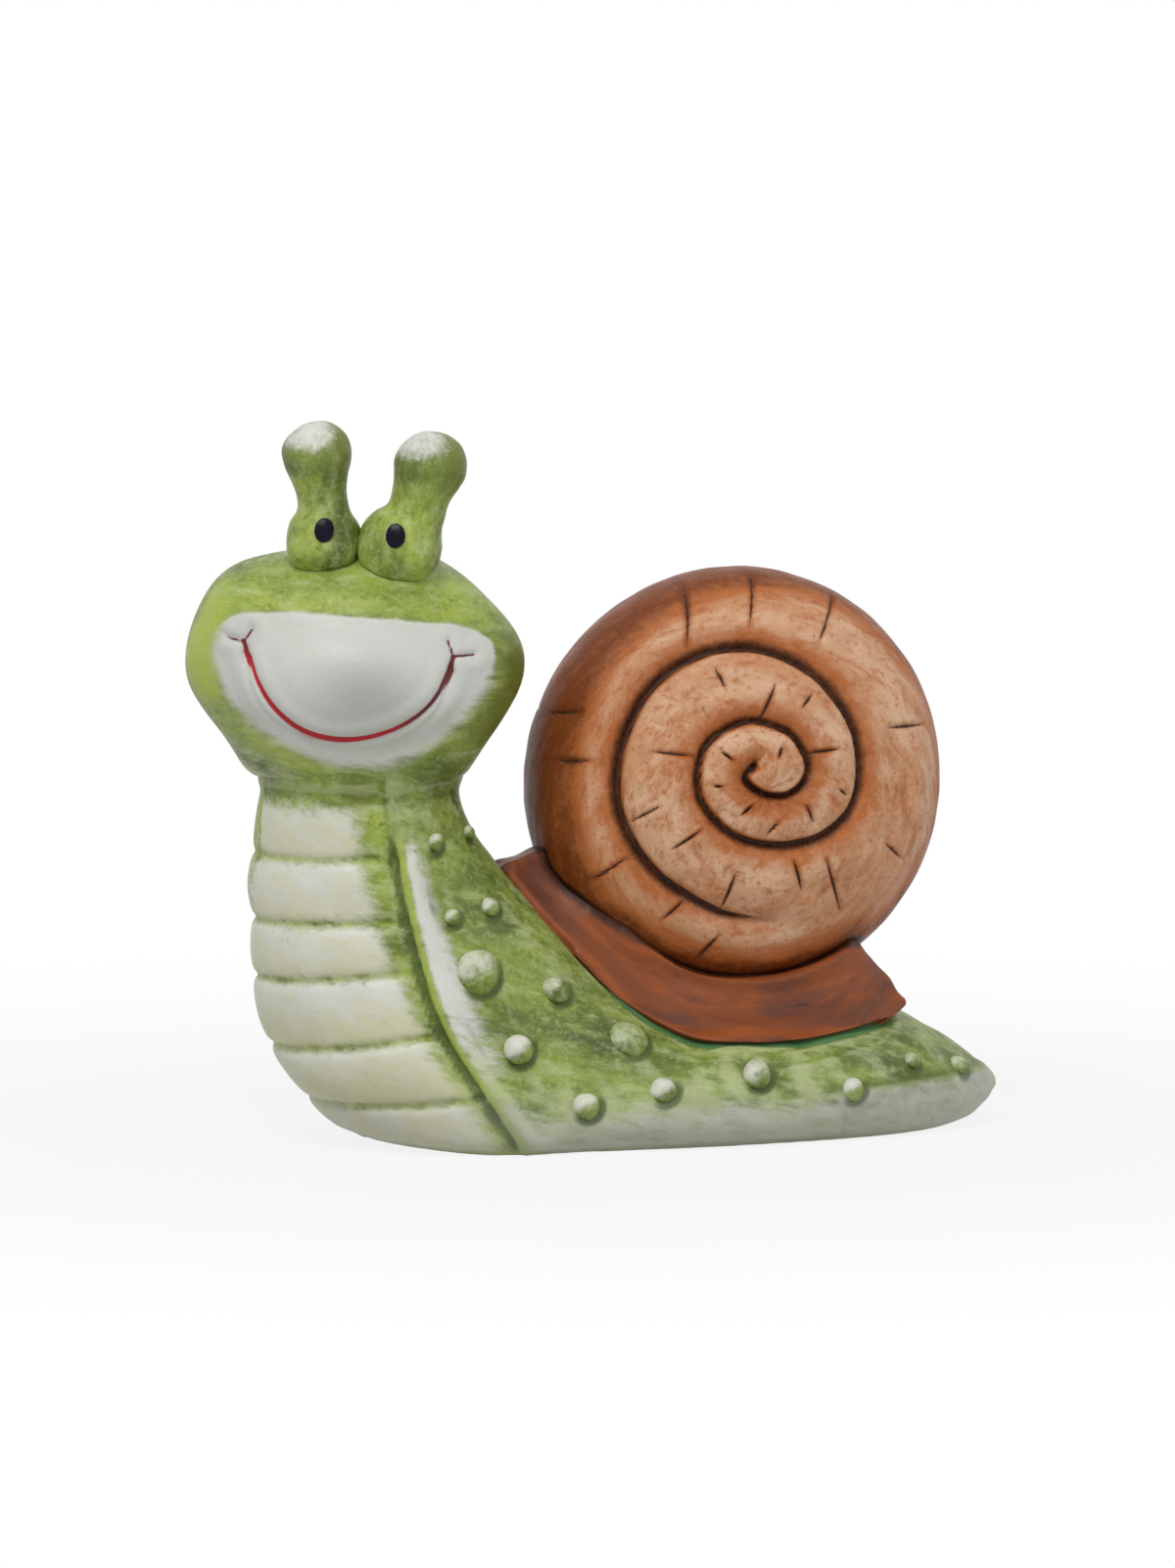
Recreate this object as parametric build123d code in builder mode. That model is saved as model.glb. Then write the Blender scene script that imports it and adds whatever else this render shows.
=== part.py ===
from build123d import *

import os
from math import atan2, cos, degrees, pi, radians, sin, sqrt

# A smiling garden snail in painted earthenware. Hollow castings for the body, the head and the
# shell carry small pieces that are luted on with slip: eyes, feelers, enamel pupils and pellets.
# X runs from the head end to the tail, minus Y is the side that faces the viewer, Z is up.
# The origin is the middle of the flat sole.

os.makedirs("parts", exist_ok=True)

# Body and foot, in millimetres
body_length = 160.5
neck_height = 76.0
foot_width = 66.0
casting_wall = 4.5
belly_recess = 1.5
crease_width = 1.3
crease_depth = 1.2
vent_diameter = 3.0
cut_overrun = 2.0

# Head
head_width = 69.0
head_depth = 50.5
head_height = 46.6
head_wall = 4.0
face_turn = 21.0
face_roll = 4.5
muzzle_width = 48.0
muzzle_height = 32.0
muzzle_proud = 4.0
smile_width = 43.0
smile_drop = 18.9
smile_line_width = 1.5
smile_line_depth = 1.2

# Eyes, feelers and pupils
left_eye_diameter = 15.2
right_eye_diameter = 17.2
eye_spacing = 15.5
eye_rise = 2.5
eye_forward = 9.0
feeler_ball_diameter = 14.7
feeler_reach = 17.6
left_waist_diameter = 10.3
right_waist_diameter = 11.8
left_lean = -11.0
left_stalk_shift = 0.8
right_lean = 12.0
right_stalk_shift = 1.5
pupil_width = 4.0
pupil_height = 4.9
pupil_thickness = 0.4

# Shell and saddle
shell_diameter = 87.6
shell_thickness = 46.0
shell_wall = 4.5
shell_along = 28.3
shell_gap = 3.0
shell_rim_radius = 16.0
groove_width = 5.0
groove_depth = 2.2
saddle_width = 54.0

# Pellets on the flanks
pellet_diameter = 9.6
pellet_bed = 0.6

# The body's cross sections from neck to tail. Each row holds the back point along and up, the
# belly point along and up, the half width, the height of the widest place, and the fullness of
# the upper and lower quarters. Lengths are shares of body length, neck height and foot width.
# The belly's floor needs only the rows up to the middle of the foot.
body_section_shares = (
    (-0.188, 1.000, -0.459, 1.000, 0.318, 0.50, 0.552, 0.552),
    (-0.179, 0.868, -0.466, 0.829, 0.326, 0.50, 0.552, 0.552),
    (-0.129, 0.711, -0.469, 0.632, 0.349, 0.50, 0.560, 0.552),
    (-0.061, 0.572, -0.463, 0.429, 0.386, 0.48, 0.580, 0.560),
    (0.008, 0.447, -0.431, 0.197, 0.432, 0.43, 0.600, 0.600),
    (0.064, 0.375, -0.340, 0.007, 0.470, 0.38, 0.620, 0.680),
    (0.126, 0.336, -0.136, -0.040, 0.492, 0.36, 0.640, 0.740),
    (0.188, 0.329, 0.083, -0.040, 0.500, 0.38, 0.640, 0.740),
    (0.269, 0.342, 0.263, -0.033, 0.462, 0.38, 0.620, 0.740),
    (0.363, 0.329, 0.400, -0.020, 0.371, 0.40, 0.600, 0.700),
    (0.444, 0.250, 0.481, 0.013, 0.227, 0.44, 0.580, 0.640),
    (0.500, 0.165, 0.516, 0.053, 0.106, 0.50, 0.552, 0.552),
    (0.527, 0.122, 0.531, 0.088, 0.022, 0.50, 0.552, 0.552),
)
belly_row_count = 9
hollow_rows = (0, 2, 4, 5, 6, 8, 9)

# Edges of the recessed belly as seen from the side, near side and far side, from the neck down.
near_belly_shares = ((-0.316, 1.050), (-0.313, 0.790), (-0.278, 0.421), (-0.234, 0.224), (-0.144, -0.040))
far_belly_shares = ((-0.422, 1.050), (-0.410, 0.658), (-0.372, 0.474), (-0.310, 0.316), (-0.148, -0.040))

# Creases across the belly: height at the chest and height at the flank, and how far they run.
crease_shares = ((0.789, 0.807), (0.611, 0.642), (0.445, 0.520), (0.239, 0.351), (0.074, 0.161))
crease_front_share = -0.520
crease_rear_share = -0.210

# Heights of the head above its seat, half width, half depth and sideways place, as shares of the
# head's height, width, depth and width.
head_section_shares = (
    (0.000, 0.304, 0.390, 0.010),
    (0.120, 0.375, 0.440, 0.000),
    (0.292, 0.453, 0.485, -0.006),
    (0.450, 0.497, 0.500, -0.009),
    (0.580, 0.497, 0.497, -0.012),
    (0.730, 0.450, 0.455, -0.021),
    (0.858, 0.366, 0.375, -0.028),
    (0.960, 0.232, 0.240, -0.030),
    (0.992, 0.115, 0.120, -0.030),
)
head_hollow_rows = (0, 2, 4, 6)
crown_aside_share = -0.030
face_aside_share = -0.012
face_height_share = 0.504
muzzle_drop_share = 0.064
smile_end_share = 0.060
stalk_base_share = 0.5
left_pupil_shares = (0.026, 0.118)
right_pupil_shares = (-0.029, 0.116)

# The space inside the shell: place across and corner radius, as shares of its own half sizes.
shell_hollow_shares = ((0.0, 1.0), (0.62, 0.84), (1.0, 0.38))
shell_hollow_sides = 16
# Where the spiral groove crosses the level line, as shares of the shell's radius.
spiral_crossing_shares = (-0.082, 0.219, -0.320, 0.500, -0.683)
spiral_level_share = 0.096
spiral_end_share = 0.700
spiral_lift_share = 0.170
spiral_last_share = 0.5

# The saddle's sections: angle about the shell's axis, half width at the shell, half width at the
# back and outer radius. Lengths are shares of saddle width and shell radius.
saddle_section_shares = (
    (197.0, 0.070, 0.090, 1.245),
    (208.0, 0.125, 0.175, 1.235),
    (221.0, 0.190, 0.265, 1.215),
    (236.0, 0.245, 0.335, 1.215),
    (248.0, 0.300, 0.420, 1.225),
    (260.0, 0.325, 0.510, 1.235),
    (273.0, 0.325, 0.525, 1.235),
    (286.0, 0.310, 0.475, 1.245),
    (297.0, 0.270, 0.375, 1.275),
    (306.0, 0.180, 0.240, 1.290),
)
saddle_inner_share = 0.900
saddle_flare_share = 0.60

# Pellets: place along and up, and size, as shares of body length, neck height and the largest.
near_pellet_shares = (
    (-0.259, 0.840, 0.46), (-0.200, 0.850, 0.34), (-0.244, 0.642, 0.42), (-0.186, 0.658, 0.50),
    (-0.214, 0.495, 1.00), (-0.104, 0.434, 0.67), (-0.167, 0.288, 0.71), (-0.014, 0.290, 0.92),
    (-0.082, 0.134, 0.63), (0.019, 0.168, 0.63), (0.148, 0.200, 0.67), (0.277, 0.145, 0.54),
    (0.370, 0.206, 0.42), (0.450, 0.170, 0.50),
)
far_pellet_shares = (
    (-0.262, 0.820, 0.46), (-0.225, 0.690, 0.42), (-0.190, 0.550, 0.50), (-0.205, 0.370, 0.92),
    (-0.110, 0.240, 0.71), (-0.015, 0.300, 0.83), (0.050, 0.150, 0.63), (0.140, 0.220, 0.67),
    (0.270, 0.150, 0.54), (0.400, 0.190, 0.46),
)
pellet_rise_share = 0.55
pellet_top_share = 0.55
pellet_sides = 8

# Worked-out places and radii
shell_radius = shell_diameter / 2
back_height = neck_height * body_section_shares[7][1]
shell_height = back_height + shell_gap + shell_radius
neck_along = body_length * (body_section_shares[0][0] + body_section_shares[0][2]) / 2
seat_level = Plane.XY.offset(neck_height)
spiral_height = shell_height + spiral_level_share * shell_radius
spiral_lift = spiral_lift_share * shell_radius
shell_centre = Vector(shell_along, 0, shell_height)
turn = radians(face_turn)
roll = radians(face_roll)
face_out = Vector(-sin(turn), -cos(turn), 0)
head_across = Vector(cos(turn), -sin(turn), 0)
face_across = head_across * cos(roll) - Vector(0, 0, sin(roll))
neck_centre = Vector(neck_along, 0, neck_height)
face_rise = Vector(0, 0, head_height * face_height_share)
face_centre = neck_centre + face_rise + head_across * (face_aside_share * head_width)
face_plane = Plane(origin=face_centre, x_dir=face_across, z_dir=face_out)
eye_height = head_height * (1 - face_height_share) + eye_rise
smile_end_height = smile_end_share * head_height


def body_frame(shares, inset):
    """The plane of a cross section of the body, its half width and reach, widest height and fullness."""
    back_x, back_z, belly_x, belly_z, half, widest, upper, lower = shares
    back = Vector(back_x * body_length, 0, back_z * neck_height)
    belly = Vector(belly_x * body_length, 0, belly_z * neck_height)
    upward = (back - belly).normalized()
    plane = Plane(origin=(back + belly) / 2, x_dir=(0, 1, 0), z_dir=Vector(0, 1, 0).cross(upward))
    reach = (back - belly).length / 2 - inset
    return plane, half * foot_width - inset, reach, reach * (2 * widest - 1), upper, lower


def body_section(shares, inset):
    """One closed cross section of the body, drawn in by an inset."""
    plane, width, reach, side, upper, lower = body_frame(shares, inset)
    upper_curve = [(0, reach), (upper * width, reach), (width, side + upper * (reach - side)), (width, side)]
    lower_curve = [(width, side), (width, side - lower * (side + reach)), (lower * width, -reach), (0, -reach)]
    right_half = [upper_curve, lower_curve]
    left_half = [[(-x, y) for x, y in reversed(curve)] for curve in (lower_curve, upper_curve)]
    # Four separate edges, drawn the same way round, keep the loft's seams in line.
    return Face(Wire([plane * Bezier(*curve) for curve in right_half + left_half]))


def body_form(inset, rows):
    """The body's outer form through some of its sections, drawn in by an inset."""
    sections = [body_section(shares, inset) for shares in rows]
    with BuildPart() as form:
        loft(sections=sections)
    return form.part


def octagon(plane, half_width, above, below, upper_share, lower_share):
    """A flat eight-sided outline with its own fullness above and below its widest line."""
    upper = (upper_share * half_width, upper_share * above)
    lower = (lower_share * half_width, -lower_share * below)
    right = [upper, (half_width, 0), lower]
    left = [(-x, y) for x, y in reversed(right)]
    with BuildLine(plane) as outline:
        Polyline((0, above), *right, (0, -below), *left, close=True)
    return Face(outline.wire())


def body_hollow_section(shares):
    """One eight-sided cross section of the space inside the body, a wall in from the skin."""
    plane, width, reach, side, upper, lower = body_frame(shares, casting_wall)
    plane.origin = plane.from_local_coords(Vector(0, side, 0))
    return octagon(plane, width, reach - side, reach + side, half_way_share(upper), half_way_share(lower))


def half_way_share(fullness):
    """How far out a quarter curve of some fullness stands at its middle."""
    return (4 + 3 * fullness) / 8


def skull_level(height, aside):
    """The level plane of one cross section of the head."""
    centre = neck_centre + head_across * (aside * head_width) + Vector(0, 0, height * head_height)
    return Plane(origin=centre, x_dir=head_across, z_dir=(0, 0, 1))


def skull_form(inset):
    """The head without its muzzle, drawn in by an inset."""
    rise = (head_height - inset) / head_height
    sections = []
    for height, half_width, half_depth, aside in head_section_shares:
        with BuildSketch(skull_level(height * rise, aside)) as section:
            Ellipse(half_width * head_width - inset * rise, half_depth * head_depth - inset * rise)
        sections.append(section.sketch)
    sections.append(Vertex(*skull_level(rise, crown_aside_share).origin))
    with BuildPart() as form:
        loft(sections=sections)
    return form.part


def head_hollow_section(shares):
    """One eight-sided cross section of the space inside the head, a wall in from the skin."""
    height, half_width, half_depth, aside = shares
    level = skull_level(height * (head_height - head_wall) / head_height, aside)
    wide = half_width * head_width - head_wall
    deep = half_depth * head_depth - head_wall
    return octagon(level, wide, deep, deep, sqrt(0.5), sqrt(0.5))


def head_form(inset):
    """The head with its muzzle, drawn in by an inset."""
    muzzle_centre = face_plane.from_local_coords(
        Vector(0, -muzzle_drop_share * head_height, head_depth / 2 + muzzle_proud - muzzle_height / 2)
    )
    with BuildPart() as form:
        add(skull_form(inset))
        with BuildSketch(Plane(origin=muzzle_centre, x_dir=face_across, z_dir=face_out)):
            Ellipse(muzzle_width / 2 - inset, muzzle_height / 2 - inset)
            with Locations((0, -muzzle_height / 2)):
                Rectangle(muzzle_width, muzzle_height, mode=Mode.SUBTRACT)
        revolve(axis=Axis(muzzle_centre, face_across))
    return form.part


def dome_radius():
    """The radius of the shell's broad dome, which runs smoothly into its rim."""
    half = shell_thickness / 2
    return (shell_radius**2 - 2 * shell_radius * shell_rim_radius + half**2) / (2 * (half - shell_rim_radius))


def shell_form():
    """The shell's disc: two broad domes joined by a round rim."""
    half = shell_thickness / 2
    centre = Vector(0, half - dome_radius())
    rim_centre = Vector(shell_radius - shell_rim_radius, 0)
    join = centre + (rim_centre - centre).normalized() * dome_radius()
    with BuildPart() as form:
        with BuildSketch(Plane(origin=shell_centre, x_dir=(1, 0, 0), z_dir=(0, 0, 1))):
            with BuildLine():
                Line((0, 0), (0, half))
                TangentArc((0, half), join, tangent=(1, 0))
                TangentArc((shell_radius, 0), join, tangent=(0, 1))
                mirror(about=Plane.XZ)
            make_face()
        revolve(axis=Axis(shell_centre, (0, 1, 0)))
    return form.part


def shell_hollow_form():
    """The space inside the shell: a many-sided lens, a wall in from the skin."""
    reach = shell_radius - shell_wall
    half = shell_thickness / 2 - shell_wall
    with BuildPart() as form:
        for start, end in zip(shell_hollow_shares, shell_hollow_shares[1:]):
            step = (end[0] - start[0]) * half
            shrink = (start[1] - end[1]) * reach * cos(pi / shell_hollow_sides)
            with BuildSketch(Plane.XZ.offset(start[0] * half)):
                RegularPolygon(start[1] * reach, shell_hollow_sides)
            extrude(amount=step, taper=degrees(atan2(shrink, step)))
        mirror(about=Plane.XZ)
    return form.part.translate(shell_centre)


def surface_seat(form, along, up, side):
    """The outermost point of a form beside a place on its length and height, and the way out of it."""
    level_line = Axis((along, 0, up), (0, side, 0))
    hits = form.shell().find_intersection_points(level_line)
    point, normal = max(hits, key=lambda hit: side * hit[0].Y)
    return point, normal if side * normal.Y > 0 else -normal


# Forms that several pieces share, so that each piece seats on its neighbour's skin
body_skin = body_form(0, body_section_shares)
belly_floor = body_form(belly_recess, body_section_shares[:belly_row_count])
crease_floor = body_form(belly_recess + crease_depth, body_section_shares[:belly_row_count])
body_hollow_sections = [body_hollow_section(body_section_shares[row]) for row in hollow_rows]
skull_skin = skull_form(0)
head_skin = head_form(0)
smile_floor = head_form(smile_line_depth)
head_hollow_sections = [head_hollow_section(head_section_shares[row]) for row in head_hollow_rows]
shell_skin = shell_form()
shell_core = shell_hollow_form()

# Body: recessed belly with creases, a flat sole and neck seat, and a hollow inside
with BuildPart() as belly_zone:
    for side, edge_shares in ((1, near_belly_shares), (-1, far_belly_shares)):
        edge = [(along * body_length, up * neck_height) for along, up in edge_shares]
        with BuildSketch(Plane.XZ):
            with BuildLine():
                Spline(*edge)
                Polyline(edge[-1], (-body_length, edge[-1][1]), (-body_length, edge[0][1]), edge[0])
            make_face()
        extrude(amount=side * foot_width)

with BuildPart() as belly_cutter:
    add(belly_zone.part)
    add(belly_floor, mode=Mode.SUBTRACT)

with BuildPart() as crease_cutter:
    for chest, flank in crease_shares:
        start = Vector(crease_front_share * body_length, chest * neck_height)
        end = Vector(crease_rear_share * body_length, flank * neck_height)
        with BuildSketch(Plane.XZ):
            with BuildLine():
                Line(start, end)
            trace(line_width=crease_width)
        extrude(amount=foot_width, both=True)
    add(belly_zone.part, mode=Mode.INTERSECT)
    add(crease_floor, mode=Mode.SUBTRACT)

with BuildPart() as body_hollow:
    loft(sections=body_hollow_sections, ruled=True)
    split(bisect_by=Plane.XY.offset(casting_wall), keep=Keep.TOP)
    split(bisect_by=Plane.XY.offset(neck_height - casting_wall), keep=Keep.BOTTOM)

with BuildPart() as body:
    add(body_skin)
    split(bisect_by=Plane.XY, keep=Keep.TOP)
    add(belly_cutter.part, mode=Mode.SUBTRACT)
    add(crease_cutter.part, mode=Mode.SUBTRACT)
    add(body_hollow.part, mode=Mode.SUBTRACT)
    with BuildSketch(Plane.XY):
        Circle(vent_diameter / 2)
    extrude(amount=casting_wall + cut_overrun, mode=Mode.SUBTRACT)
    with BuildSketch(seat_level):
        with Locations((neck_along, 0)):
            Circle(vent_diameter / 2)
    extrude(amount=-casting_wall - cut_overrun, mode=Mode.SUBTRACT)
    with BuildSketch(Plane.XY.offset(shell_height)):
        with Locations((shell_along, 0)):
            Circle(vent_diameter / 2)
    extrude(amount=back_height - casting_wall - cut_overrun - shell_height, mode=Mode.SUBTRACT)
body.part.label = "body"
export_step(body.part, "parts/body.step")

# Head: the smile is a groove that follows the muzzle at one depth
with BuildPart() as smile_cutter:
    with BuildSketch(face_plane):
        for mode, step in ((Mode.ADD, smile_line_width / 2), (Mode.SUBTRACT, -smile_line_width / 2)):
            with Locations((0, smile_end_height)):
                Ellipse(smile_width / 2 + step, smile_drop + step, mode=mode)
        with Locations((0, smile_end_height + smile_width / 2)):
            Rectangle(2 * smile_width, smile_width, mode=Mode.SUBTRACT)
    extrude(amount=head_depth)
    add(smile_floor, mode=Mode.SUBTRACT)

with BuildPart() as head_hollow:
    loft(sections=head_hollow_sections, ruled=True)
    split(bisect_by=seat_level.offset(head_wall), keep=Keep.TOP)

with BuildPart() as head:
    add(head_skin)
    add(smile_cutter.part, mode=Mode.SUBTRACT)
    split(bisect_by=seat_level, keep=Keep.TOP)
    add(head_hollow.part, mode=Mode.SUBTRACT)
    with BuildSketch(seat_level):
        with Locations((neck_along, 0)):
            Circle(vent_diameter / 2)
    extrude(amount=head_wall + cut_overrun, mode=Mode.SUBTRACT)
head.part.label = "head"
export_step(head.part, "parts/head.step")


def eye_plane(aside):
    """The plane at an eye's centre, or beside it, facing as the face does."""
    centre = face_plane.from_local_coords(Vector(aside, eye_height, eye_forward))
    return Plane(origin=centre, x_dir=face_across, z_dir=face_out)


def stalk(aside, eye_diameter, waist_diameter, lean):
    """A feeler turned about its own leaning axis: a straight waist that swells into a ball."""
    eye_radius = eye_diameter / 2
    waist = waist_diameter / 2
    ball_radius = feeler_ball_diameter / 2
    base = stalk_base_share * eye_radius
    rise = feeler_reach - eye_radius
    swell = (waist**2 + rise**2 - ball_radius**2) / (2 * (ball_radius - waist))
    ball_centre = Vector(0, feeler_reach)
    join = ball_centre + (Vector(waist + swell, eye_radius) - ball_centre).normalized() * ball_radius
    upright = eye_plane(aside)
    across = face_across * cos(radians(lean)) - upright.y_dir * sin(radians(lean))
    leaning = Plane(origin=upright.origin, x_dir=across, z_dir=face_out)
    with BuildPart() as form:
        with BuildSketch(leaning):
            with BuildLine():
                Polyline((0, feeler_reach + ball_radius), (0, base), (waist, base), (waist, eye_radius))
                TangentArc((waist, eye_radius), join, tangent=(0, 1))
                ThreePointArc(join, (ball_radius, feeler_reach), (0, feeler_reach + ball_radius))
            make_face()
        revolve(axis=Axis(leaning.origin, leaning.y_dir))
    return form.part


# Eyes: bulbs that seat on the crown and are pressed flat where they meet
left_eye_plane = eye_plane(-eye_spacing / 2)
right_eye_plane = eye_plane(eye_spacing / 2)
meeting = (eye_spacing**2 + (left_eye_diameter**2 - right_eye_diameter**2) / 4) / (2 * eye_spacing)
meeting_plane = Plane(origin=eye_plane(meeting - eye_spacing / 2).origin, x_dir=face_out, z_dir=face_across)

with BuildPart(left_eye_plane) as left_bulb:
    Sphere(left_eye_diameter / 2)
with BuildPart(right_eye_plane) as right_bulb:
    Sphere(right_eye_diameter / 2)

for name, bulb, half in (
    ("left_eye", left_bulb, Keep.BOTTOM),
    ("right_eye", right_bulb, Keep.TOP),
):
    with BuildPart() as eye:
        add(bulb.part)
        split(bisect_by=meeting_plane, keep=half)
        add(skull_skin, mode=Mode.SUBTRACT)
    eye.part.label = name
    export_step(eye.part, f"parts/{name}.step")

# Feelers: each seats on its own eye and stands clear of the other
left_stalk_form = stalk(left_stalk_shift - eye_spacing / 2, left_eye_diameter, left_waist_diameter, left_lean)
right_stalk_form = stalk(right_stalk_shift + eye_spacing / 2, right_eye_diameter, right_waist_diameter, right_lean)

with BuildPart() as left_stalk:
    add(left_stalk_form)
    add(left_bulb.part, mode=Mode.SUBTRACT)
    add(right_bulb.part, mode=Mode.SUBTRACT)
left_stalk.part.label = "left_stalk"
export_step(left_stalk.part, "parts/left_stalk.step")

with BuildPart() as right_stalk:
    add(right_stalk_form)
    add(right_bulb.part, mode=Mode.SUBTRACT)
    add(left_bulb.part, mode=Mode.SUBTRACT)
right_stalk.part.label = "right_stalk"
export_step(right_stalk.part, "parts/right_stalk.step")

# Pupils: oval drops of enamel that follow the curve of each eye
for name, plane, eye_diameter, place_shares in (
    ("left_pupil", left_eye_plane, left_eye_diameter, left_pupil_shares),
    ("right_pupil", right_eye_plane, right_eye_diameter, right_pupil_shares),
):
    with BuildPart(plane) as drop:
        Sphere(eye_diameter / 2 + pupil_thickness)
        Sphere(eye_diameter / 2, mode=Mode.SUBTRACT)
        with BuildSketch(plane):
            with Locations((place_shares[0] * eye_diameter, place_shares[1] * eye_diameter)):
                Ellipse(pupil_width / 2, pupil_height / 2)
        extrude(amount=eye_diameter, mode=Mode.INTERSECT)
    drop.part.label = name
    export_step(drop.part, f"parts/{name}.step")

# Shell: a hollow disc with a spiral groove, made of half turns about shifting centres
crossings = [
    surface_seat(shell_skin, shell_along + share * shell_radius, spiral_height, -1)[0]
    for share in spiral_crossing_shares
]
last = crossings[-1]
crossings.append(Vector(shell_along + spiral_end_share * shell_radius, last.Y - spiral_lift, spiral_height))

with BuildPart() as spiral_cutter:
    for index in range(len(crossings) - 1):
        start, end = crossings[index], crossings[index + 1]
        swing = (end - start).cross(Vector(0, 0, 1 - 2 * (index % 2)))
        across = (end - start).normalized()
        inward = groove_depth if across.X > 0 else -groove_depth
        with BuildSketch(Plane(origin=start, x_dir=across, z_dir=(0, 0, 1))):
            Polygon((-groove_width, -inward), (groove_width, -inward), (0, inward), align=None)
        half_turns = 1 if index < len(crossings) - 2 else spiral_last_share
        revolve(axis=Axis((start + end) / 2, swing), revolution_arc=180 * half_turns)
    mirror(about=Plane.XZ)

with BuildPart() as shell:
    add(shell_skin)
    add(shell_core, mode=Mode.SUBTRACT)
    add(spiral_cutter.part, mode=Mode.SUBTRACT)
    with BuildSketch(Plane.XY.offset(shell_height)):
        with Locations((shell_along, 0)):
            Circle(vent_diameter / 2)
    extrude(amount=-shell_radius - cut_overrun, mode=Mode.SUBTRACT)
shell.part.label = "shell"
export_step(shell.part, "parts/shell.step")


def saddle_section(angle, shell_half_share, back_half_share, radius_share):
    """One cross section of the saddle, on a plane through the shell's axis."""
    inner = (shell_half_share * saddle_width, saddle_inner_share * shell_radius)
    outer = (back_half_share * saddle_width, radius_share * shell_radius)
    middle = inner[1] + saddle_flare_share * (outer[1] - inner[1])
    outward = Vector(cos(radians(angle)), 0, sin(radians(angle)))
    plane = Plane(origin=shell_centre, x_dir=(0, 1, 0), z_dir=Vector(0, 1, 0).cross(outward))
    with BuildLine(plane) as outline:
        Line((-inner[0], inner[1]), inner)
        Bezier(inner, (inner[0], middle), outer)
        Line(outer, (-outer[0], outer[1]))
        Bezier((-outer[0], outer[1]), (-inner[0], middle), (-inner[0], inner[1]))
    return Face(outline.wire())


# Saddle: a flared collar bedded between the shell and the back
saddle_sections = [saddle_section(*row) for row in saddle_section_shares]
with BuildPart() as saddle:
    loft(sections=saddle_sections)
    add(shell_skin, mode=Mode.SUBTRACT)
    add(body_skin, mode=Mode.SUBTRACT)
    with BuildSketch(Plane.XY.offset(shell_height)):
        with Locations((shell_along, 0)):
            Circle(vent_diameter / 2)
    extrude(amount=-shell_height, mode=Mode.SUBTRACT)
saddle.part.label = "saddle"
export_step(saddle.part, "parts/saddle.step")

# Pellets: low buttons pressed onto the flanks, square to the skin and bedded on it
for name, side, pellet_shares in (
    ("near_warts", -1, near_pellet_shares),
    ("far_warts", 1, far_pellet_shares),
):
    with BuildPart() as pellets:
        for along, up, size in pellet_shares:
            radius = size * pellet_diameter / 2
            seat, outward = surface_seat(body_skin, along * body_length, up * neck_height, side)
            bed = Plane(origin=seat - outward * pellet_bed, z_dir=outward)
            with BuildSketch(bed):
                RegularPolygon(radius, pellet_sides)
            with BuildSketch(bed.offset(pellet_bed + pellet_rise_share * radius)):
                RegularPolygon(pellet_top_share * radius, pellet_sides)
            loft(ruled=True)
        add(body_skin, mode=Mode.SUBTRACT)
    pellets.part.label = name
    export_step(pellets.part, f"parts/{name}.step")
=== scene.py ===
"""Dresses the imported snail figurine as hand-painted, satin-finished ceramic on a pale studio floor."""

import logging
import math
from dataclasses import dataclass
from enum import Enum
from functools import cache
from typing import Sequence

import bmesh
import bpy
import numpy as np
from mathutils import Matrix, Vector
from mathutils.bvhtree import BVHTree


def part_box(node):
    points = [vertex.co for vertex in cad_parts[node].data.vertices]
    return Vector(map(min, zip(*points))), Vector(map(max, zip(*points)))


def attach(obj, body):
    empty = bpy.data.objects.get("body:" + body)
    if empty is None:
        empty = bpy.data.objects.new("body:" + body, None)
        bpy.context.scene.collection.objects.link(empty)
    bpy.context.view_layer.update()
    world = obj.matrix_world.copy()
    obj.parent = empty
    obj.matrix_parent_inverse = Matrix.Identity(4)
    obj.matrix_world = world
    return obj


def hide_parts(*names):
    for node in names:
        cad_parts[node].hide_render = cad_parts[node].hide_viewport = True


LOG = logging.getLogger("snail")
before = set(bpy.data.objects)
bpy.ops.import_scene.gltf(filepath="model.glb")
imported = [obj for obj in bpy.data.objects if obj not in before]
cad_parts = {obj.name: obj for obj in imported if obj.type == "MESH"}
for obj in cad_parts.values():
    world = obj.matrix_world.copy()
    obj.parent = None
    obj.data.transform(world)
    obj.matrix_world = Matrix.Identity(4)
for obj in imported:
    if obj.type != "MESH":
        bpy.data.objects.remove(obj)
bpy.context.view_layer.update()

MM = 0.001
PHOTO_HEIGHT = 1602
SAME_POINT = 0.004
SWELL_BACK = -0.52
SADDLE_EDGE = (
    (-8.0, -32.8), (0.0, -40.2), (8.0, -45.2), (16.0, -49.6), (24.0, -52.6), (34.0, -53.2), (44.0, -52.4),
    (54.0, -50.3), (60.0, -48.4),
)


class Side(Enum):
    """The two flanks of the snail, by the sign of Y."""

    NEAR = -1
    FAR = 1


def srgb(red: int, green: int, blue: int) -> tuple[float, float, float, float]:
    """Turns a colour as the eye names it into the linear one that shaders want.

    Args:
        red, green, blue: the channels, 0 to 255.

    Returns:
        The linear colour with full alpha.
    """
    channels = []
    for value in (red, green, blue):
        share = value / 255
        channels.append(share / 12.92 if share <= 0.04045 else ((share + 0.055) / 1.055) ** 2.4)
    return (*channels, 1.0)


def ramp(low: float, high: float, values: np.ndarray) -> np.ndarray:
    """Rises smoothly from 0 at low to 1 at high, or falls where low is the larger."""
    share = np.clip((values - low) / (high - low), 0, 1)
    return share * share * (3 - 2 * share)


def bell(values: np.ndarray, width: float | np.ndarray) -> np.ndarray:
    """A bump that is 1 where the values are 0 and dies away over about twice the width."""
    return np.exp(-((values / width) ** 2))


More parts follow.
